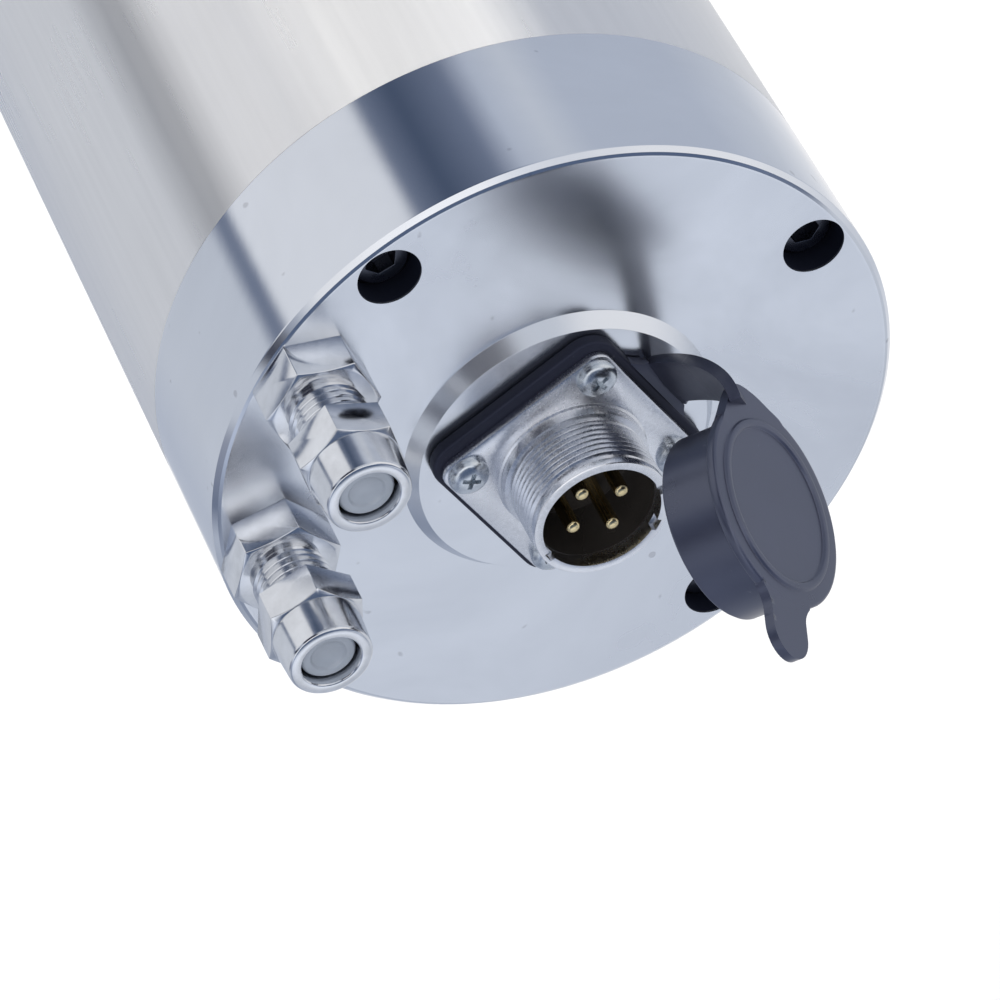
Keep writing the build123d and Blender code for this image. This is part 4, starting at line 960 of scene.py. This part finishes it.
class SPINDLE_OT_hose_fittings(BuildOperator):
    """Two plated hose fittings with gland nuts and shipping plugs"""
    bl_idname = "spindle.hose_fittings"
    bl_label = "Hose fittings"

    def execute(self, context):
        fit = context.scene.spindle_fittings
        plating = grainy_metal("bright plating", fit.plate_colour, 0.15, 300.0, 0.000015, dark=0.9)
        milky = milky_plug(fit)
        brass = grainy_metal("turned brass", (0.72, 0.56, 0.26), 0.3)
        for side, base_turn, nut_turn in (("inlet", 8.5, -2.0), ("outlet", 29.0, 38.5)):
            centre = on_circle(fit.pitch_radius, FITTING_AZIMUTHS[side], REAR_FACE)
            base = self.bar("base", centre, fit.base_flats, 0.0, 6.3 * MM, base_turn, 20)
            stub = turned("stub", profile(
                0.0, (3.0, -9.5), (4.8, -9.5), (4.8, 5.0), (4.88, 5.0), (4.88, 15.6), (4.6, 16.0), (4.1, 16.0),
                (4.1, 8.3), (3.0, 7.3),
            ), centre, 96)
            ridge = thread_ridge("ridge", centre, 4.88 * MM, 5.5 * MM, 6.4 * MM, 15.9 * MM, fit.thread_pitch, 96)
            soften(stub, 0.1 * MM, 1, 50)
            fitting = joined(side + "_hose_fitting", [base, stub, ridge])
            dress(fitting, "housing", "fitting_chrome", plating, side + "_fitting", weighted=False)

            nut = self.bar("nut", centre, fit.nut_flats, 12.7 * MM, 18.3 * MM, nut_turn, 30)
            round_end = turned("round", profile(
                0.0, (5.58, 13.2), (6.4, 13.2), (6.35, 18.4), (6.3, 19.0), (6.0, 23.6), (5.94, 23.95),
                (5.8, 24.2), (5.55, 24.3), (4.42, 24.3), (4.26, 24.2), (4.2, 24.0), (4.2, 21.0), (5.58, 19.4),
            ), centre, 96)
            bored(nut, profile(0.0, (5.58, 12.0), (5.58, 20)), centre, 96)
            soften(round_end, 0.12 * MM, 2, 30)
            gland = joined(side + "_gland_nut", [nut, round_end])
            dress(gland, side + "_nut_body", "fitting_chrome", plating, side + "_nut", weighted=False)

            plug = turned(side + "_shipping_plug", profile(
                0.0, (3.6, 16.8), (3.92, 17.2), (3.92, 22.75), (3.6, 23.1), (2.6, 23.1), (2.3, 22.75),
                (1.3, 22.45), (0.5, 22.4),
            ), centre, 96, solid=True)
            soften(plug, 0.08 * MM, 2, 30)
            dress(plug, side + "_plug_body", "milky_plastic", milky, side + "_plug", angle=50)
            painted(frame["nodes"][side + "_sleeve"].data, brass)
        return {"FINISHED"}

    def bar(self, name, centre, flats, bottom, top, turn, slope):
        """A hexagon whose top corners are turned off, which leaves a curved line on each flat."""
        bar = hexagon(name, centre, flats, bottom, top, turn)
        wide = flats / 2 / math.cos(math.radians(30)) + 0.5 * MM
        inner = flats / 2 - 0.1 * MM
        drop = (wide - inner) * math.tan(math.radians(slope))
        outline = [(wide, bottom - 0.1 * MM), (wide, top - drop), (inner, top + 0.001 * MM)]
        carve(bar, turned("envelope", outline, centre, 144, solid=True), "INTERSECT")
        return soften(bar, 0.16 * MM, 2, 24)


class SPINDLE_OT_nose(BuildOperator):
    """Front cover, bearing cap, slinger, shaft nose, collet and its nut"""
    bl_idname = "spindle.nose"
    bl_label = "Collet nose"

    def execute(self, context):
        body = context.scene.spindle_body
        nose = context.scene.spindle_nose
        polished = polished_cover(body)
        ground = grainy_metal("ground steel", nose.ground_colour, 0.22, 800.0)
        tip = low("shaft").z
        chamfer = body.cover_chamfer

        seat = high("front_cover").z
        cover = turned("front_cover_shell", [
            (23.53 * MM, FRONT_FACE), (BODY_R - chamfer, FRONT_FACE), (BODY_R, FRONT_FACE + chamfer),
            (BODY_R, TUBE_BOTTOM - HAIR), (39.0 * MM, TUBE_BOTTOM - HAIR),
            *profile(seat, (38.9, 0), (19.0, 0)), *profile(SHOULDER, (19.0, 0), (23.53, 0)),
        ], sides=256)
        screw_holes(cover, body, FRONT_FACE, -1, TUBE_BOTTOM + MM)
        soften(cover, 0.15 * MM, 2, 30)
        dress(cover, "housing", "polished_steel", polished, "front_cover")

        face, seat = low("front_bearing_cap").z, high("front_bearing_cap").z
        cap = turned("bearing_cap", [
            *profile(face, (18.3, 0), (30.2, 0), (31.0, 0.8)), *profile(FRONT_FACE, (31.0, 0), (23.47, 0)),
            *profile(seat, (23.47, 0), (20.0, 0), (20.0, -3), (18.3, -3)),
        ], sides=192)
        sink = profile(face, (4.4, -0.4), (4.0, 0), (2.15, 1.85)) + profile(FRONT_FACE, (2.15, 0.5))
        screw = profile(face, (3.75, 0.2), (2.0, 2.0)) + profile(high("front_cap_screws").z, (2.0, 0))
        spots = ring_of(27.2 * MM, 6, 30)
        for spot in spots:
            bored(cap, sink, spot, 48)
        soften(cap, 0.12 * MM, 2, 30)
        dress(cap, "housing", "polished_steel", polished, "front_bearing_cap")

        heads = []
        for sixth, spot in enumerate(spots):
            head = turned("head", screw, spot, 48, solid=True)
            carve(head, hexagon("drive", spot, 2.5 * MM, face - 0.5 * MM, face + 1.6 * MM, 17 * sixth))
            heads.append(soften(head, 0.08 * MM, 2, 50))
        sunk = grainy_metal("countersunk steel", (0.34, 0.34, 0.36), 0.3)
        dress(joined("bearing_cap_screws", heads), "housing", "screw_steel", sunk, "front_cap_screws")

        face, seat = low("slinger_nut").z, high("slinger_nut").z
        slinger = turned("slinger", [
            *profile(face, (12.53, 0), (17.0, 0), (18.0, 1)),
            *profile(seat, (18.0, -3.4), (15.5, -3.4), (15.5, 0), (12.53, 0)),
        ], sides=160)
        for spot in ring_of(15.2 * MM, 2, 20):
            bored(slinger, profile(face, (1.25, -0.5), (1.25, 3)), spot, 32)
        soften(slinger, 0.12 * MM, 2, 30)
        dress(slinger, "rotor", "ground_steel", ground, "slinger_nut")

        shaft = self.shaft(tip)
        dress(shaft, "rotor", "ground_steel", ground, "shaft", weighted=False)

        grip = grainy_metal("collet steel", tint(nose.ground_colour, 0.95), 0.26)
        dress(self.collet(tip), "collet_body", "ground_steel", grip, "collet")

        steel = grainy_metal("nut steel", nose.nut_colour, 0.3, 700.0)
        dress(self.nut(tip, nose), "collet_nut_body", "nut_steel", steel, "collet_nut", weighted=False)
        return {"FINISHED"}

    def shaft(self, tip):
        rear = high("shaft").z
        body = turned("spindle_shaft", [
            *profile(tip, (10.5, 0), (11.2, 0), (11.8, 0.8), (11.8, 15.5), (11.6, 15.6), (11.6, 17.0)),
            *profile(tip, (12.5, 17.5)), *profile(SHOULDER, (12.5, 0), (17.0, 0)),
            *profile(0.0, (17.0, -65), (16.0, -64), (15.0, -64), (15.0, -58), (14.0, -58), (14.0, 48)),
            *profile(0.0, (12.0, 49), (12.0, 54.5), (9.5, 56.5), (9.5, 60), (7.5, 60)),
            *profile(rear, (7.5, -0.8), (6.7, 0), (2.0, 0)),
            *profile(tip, (2.0, 45), (6.6, 42), (6.6, 26), (6.85, 26)),
        ], sides=128)
        ridge = thread_ridge(
            "nose_thread", (0, 0, 0), 11.8 * MM, 12.48 * MM, tip + 0.5 * MM, tip + 15.3 * MM, 1.5 * MM, 128
        )
        soften(body, 0.1 * MM, 1, 40)
        return joined("spindle_shaft", [body, ridge])

    def collet(self, tip):
        """A tapered collet, slit from its face and from its back by turns."""
        slope = math.tan(math.radians(8))
        top = tip + 24.5 * MM
        collet = turned("gripping_collet", [
            *profile(tip, (5.0, -5.8), (8.55, -5.8), (10.2, -3.0), (9.1, -3.0), (9.1, -1.2), (10.4, -1.2)),
            (10.4 * MM, tip), (10.4 * MM - 24.5 * MM * slope, top), (5.0 * MM, top),
        ], sides=144)
        for first, last, turn in ((tip - 6.5 * MM, top - 6 * MM, 15), (tip + 0.2 * MM, top + 1 * MM, 45)):
            for angle in range(turn, turn + 360, 60):
                spot = on_circle(7.5 * MM, angle, (first + last) / 2)
                slotted(collet, spot, (7.0 * MM, 0.5 * MM, last - first), angle)
        return soften(collet, 0.06 * MM, 1, 50)

    def nut(self, tip, nose):
        top = tip + 13 * MM
        bottom = tip - 6.5 * MM
        nut = hexagon("clamping_nut", (0, 0, 0), nose.nut_flats, bottom, top, 0)
        wide = nose.nut_radius
        envelope = turned("envelope", [
            (wide - 2.2 * MM, bottom - 0.001 * MM), (wide, bottom + 1.5 * MM), (wide, top - 0.9 * MM),
            (wide - 1.6 * MM, top + 0.001 * MM),
        ], sides=192, solid=True)
        carve(nut, envelope, "INTERSECT")
        bored(nut, [
            *profile(top, (13.2, 0.5), (13.2, 0), (12.6, -0.6)),
            *profile(tip, (12.6, -0.3), (10.5, -0.3), (10.5, -1.3), (9.2, -1.3), (9.2, -2.9), (10.3, -2.9)),
            *profile(tip, (10.3, -3.1), (8.7, -5.9)), *profile(bottom, (8.7, -1)),
        ], sides=144)
        return soften(nut, 0.2 * MM, 2, 24)


class SPINDLE_OT_inner_parts(BuildOperator):
    """Finishes for the pieces sealed inside the body"""
    bl_idname = "spindle.inner_parts"
    bl_label = "Inner pieces"

    def execute(self, context):
        finishes = {
            "cooling_jacket": grainy_metal("machined aluminium", (0.72, 0.73, 0.74), 0.3),
            "jacket_seals": rubber("seal rubber", (0.02, 0.02, 0.022)),
            "water_seals": rubber("small seal rubber", (0.02, 0.02, 0.022)),
            "stator_core": laid_wire("stacked sheet", (0.36, 0.36, 0.38), 3000.0),
            "rotor_core": laid_wire("rotor sheet", (0.40, 0.40, 0.42), 3000.0),
            "stator_windings": laid_wire("varnished copper", (0.62, 0.28, 0.12)),
            "phase_leads": rubber("lead sheath", (0.35, 0.05, 0.03)),
            "rear_bearing_plate": grainy_metal("machined iron", (0.36, 0.36, 0.37), 0.4),
            "rotor_end_rings": grainy_metal("cast aluminium", (0.66, 0.66, 0.67), 0.4),
            "rear_locknut": grainy_metal("locknut steel", (0.35, 0.35, 0.37), 0.35),
            "preload_spring": grainy_metal("spring steel", (0.42, 0.42, 0.45), 0.3),
        }
        race = grainy_metal("bearing steel", (0.66, 0.67, 0.69), 0.12)
        for node in (
            "front_outer_rings", "front_inner_rings", "front_bearing_balls", "outer_spacer", "inner_spacer",
            "rear_outer_rings", "rear_inner_rings", "rear_bearing_balls",
        ):
            finishes[node] = race
        for node, material in finishes.items():
            painted(frame["nodes"][node].data, material)
        return {"FINISHED"}


class SPINDLE_OT_studio(BuildOperator):
    """Floor, surround, soft lamps and camera"""
    bl_idname = "spindle.studio"
    bl_label = "Studio"

    def execute(self, context):
        studio = context.scene.spindle_studio
        place = (0, 0, CAD_BOX[0][2] - studio.floor_gap)
        floor = fresh(
            "studio_floor", bpy.ops.mesh.primitive_grid_add, place, x_subdivisions=8, y_subdivisions=8, size=8
        )
        bpy.ops.object.transform_apply(location=True)
        finish = Finish("studio floor")
        cloud = finish.noise(3.0, 3, 0.5)
        tone = finish.mix(finish.spread(cloud, 0, 1), tint(studio.floor_colour, 0.985), studio.floor_colour)
        floor.data.materials.append(finish.set(Base_Color=tone, Roughness=0.9, Specular_IOR_Level=0.1))
        self.fade_out(finish)
        floor.visible_glossy = False
        self.surround(studio)
        self.lamp("key lamp", (-0.55, 0.25, 1.25), 1.3, studio.key_light)
        self.lamp("side lamp", (0.95, 0.55, 0.55), 1.0, studio.fill_light)
        camera_data = bpy.data.cameras.new("camera")
        camera = bpy.data.objects.new("camera", camera_data)
        context.scene.collection.objects.link(camera)
        camera.location = studio.camera_place
        camera.rotation_euler = studio.camera_turn
        camera_data.lens = studio.camera_lens
        camera_data.sensor_width = 36
        camera_data.sensor_fit = "AUTO"
        camera_data.clip_end = 20
        context.scene.camera = camera
        context.scene.view_settings.view_transform = "Standard"
        return {"FINISHED"}

    def fade_out(self, finish):
        """The floor turns plain white away from the spindle, and is clear when seen from below."""
        reach = finish.add("ShaderNodeVectorMath", finish.place, operation="LENGTH").outputs["Value"]
        far = finish.spread(reach, 0.0, 1.0, 0.35, 1.0)
        seen = finish.add("ShaderNodeLightPath").outputs["Is Camera Ray"]
        white = finish.add("ShaderNodeEmission").outputs[0]
        clear = finish.add("ShaderNodeBsdfTransparent").outputs[0]
        below = finish.add("ShaderNodeNewGeometry").outputs["Backfacing"]
        surface = finish.shader.outputs[0]
        for factor, other in ((finish.times(far, seen), white), (below, clear)):
            surface = finish.add("ShaderNodeMixShader", factor, surface, other).outputs[0]
        finish.feed(finish.tree.nodes["Material Output"].inputs["Surface"], surface)

    def lamp(self, name, place, size, power):
        data = bpy.data.lights.new(name, "AREA")
        data.shape = "DISK"
        data.size = size
        data.energy = power
        lamp = bpy.data.objects.new(name, data)
        bpy.context.scene.collection.objects.link(lamp)
        lamp.location = place
        lamp.rotation_euler = (Vector(place) - Vector((0, 0, 0.08))).to_track_quat("Z", "Y").to_euler()
        lamp.visible_glossy = False
        return lamp

    def surround(self, studio):
        """White to look at, soft for matt pieces, and a tent of white cloth and dark flags for bright metal."""
        world = bpy.context.scene.world or bpy.data.worlds.new("studio")
        bpy.context.scene.world = world
        world.use_nodes = True
        nodes = Nodes(world.node_tree)
        nodes.tree.nodes.clear()
        ways = nodes.add("ShaderNodeSeparateXYZ", nodes.add("ShaderNodeTexCoord").outputs["Generated"])
        x, y, z = (ways.outputs[axis] for axis in "XYZ")
        turn = nodes.plus(nodes.times(nodes.maths("ARCTAN2", y, x), 1 / (2 * math.pi)), 0.5)
        tent = self.around(nodes, turn, LOWER_TENT)
        for stops, start, end in ((MIDDLE_TENT, -0.16, -0.02), (UPPER_TENT, 0.56, 0.62)):
            tent = nodes.mix(nodes.spread(z, 0.0, 1.0, start, end), tent, self.around(nodes, turn, stops))
        tent = nodes.mix(nodes.spread(z, 0.0, 1.0, 0.80, 0.90), tent, NAVY)
        strength = nodes.spread(z, 0.82, 1.22, 0.64, 0.74)

        path = nodes.add("ShaderNodeLightPath")
        either = nodes.maths("MAXIMUM", path.outputs["Is Camera Ray"], path.outputs["Is Transmission Ray"])
        plain, seen, mirrored = (nodes.add("ShaderNodeBackground", *light).outputs[0] for light in (
            ((1, 1, 1), studio.world_light), ((1, 1, 1), 1.0), (tent, strength),
        ))
        inner = nodes.add("ShaderNodeMixShader", path.outputs["Is Glossy Ray"], plain, mirrored)
        outer = nodes.add("ShaderNodeMixShader", either, inner.outputs[0], seen)
        nodes.add("ShaderNodeOutputWorld", outer.outputs[0])

    def around(self, nodes, turn, stops):
        """Cloth and flags by compass direction, in degrees from -180 to 180."""
        node = nodes.add("ShaderNodeValToRGB", turn)
        band = node.color_ramp
        while len(band.elements) < len(stops):
            band.elements.new(0.5)
        for element, (degrees, level) in zip(band.elements, stops):
            element.position = (degrees + 180) / 360
            element.color = (*level, 1)
        return node.outputs["Color"]


class SPINDLE_PT_panel(bpy.types.Panel):
    """Steps of the spindle and its settings"""
    bl_idname = "SPINDLE_PT_panel"
    bl_label = "Spindle motor"
    bl_space_type = "VIEW_3D"
    bl_region_type = "UI"
    bl_category = "Spindle"

    def draw(self, context):
        for step in STEPS:
            self.layout.operator(step.bl_idname)
        for group in GROUPS:
            settings = getattr(context.scene, group)
            box = self.layout.box()
            for key in settings.__annotations__:
                box.prop(settings, key)


STEPS = (
    SPINDLE_OT_studio,
    SPINDLE_OT_body,
    SPINDLE_OT_cover_screws,
    SPINDLE_OT_power_socket,
    SPINDLE_OT_gasket_strap,
    SPINDLE_OT_dust_cap,
    SPINDLE_OT_hose_fittings,
    SPINDLE_OT_nose,
    SPINDLE_OT_inner_parts,
)
GROUPS = {
    "spindle_body": BodySettings,
    "spindle_socket": SocketSettings,
    "spindle_rubber": RubberSettings,
    "spindle_fittings": FittingSettings,
    "spindle_nose": NoseSettings,
    "spindle_studio": StudioSettings,
}


CLASSES = (*GROUPS.values(), *STEPS, SPINDLE_PT_panel)


def register():
    for kind in CLASSES:
        bpy.utils.register_class(kind)
    for name, group in GROUPS.items():
        setattr(bpy.types.Scene, name, PointerProperty(type=group))


def unregister():
    for name in GROUPS:
        delattr(bpy.types.Scene, name)
    for kind in reversed(CLASSES):
        bpy.utils.unregister_class(kind)


def main():
    register()
    for step in STEPS:
        area, call = step.bl_idname.split(".")
        getattr(getattr(bpy.ops, area), call)()


if __name__ == "__main__":
    main()
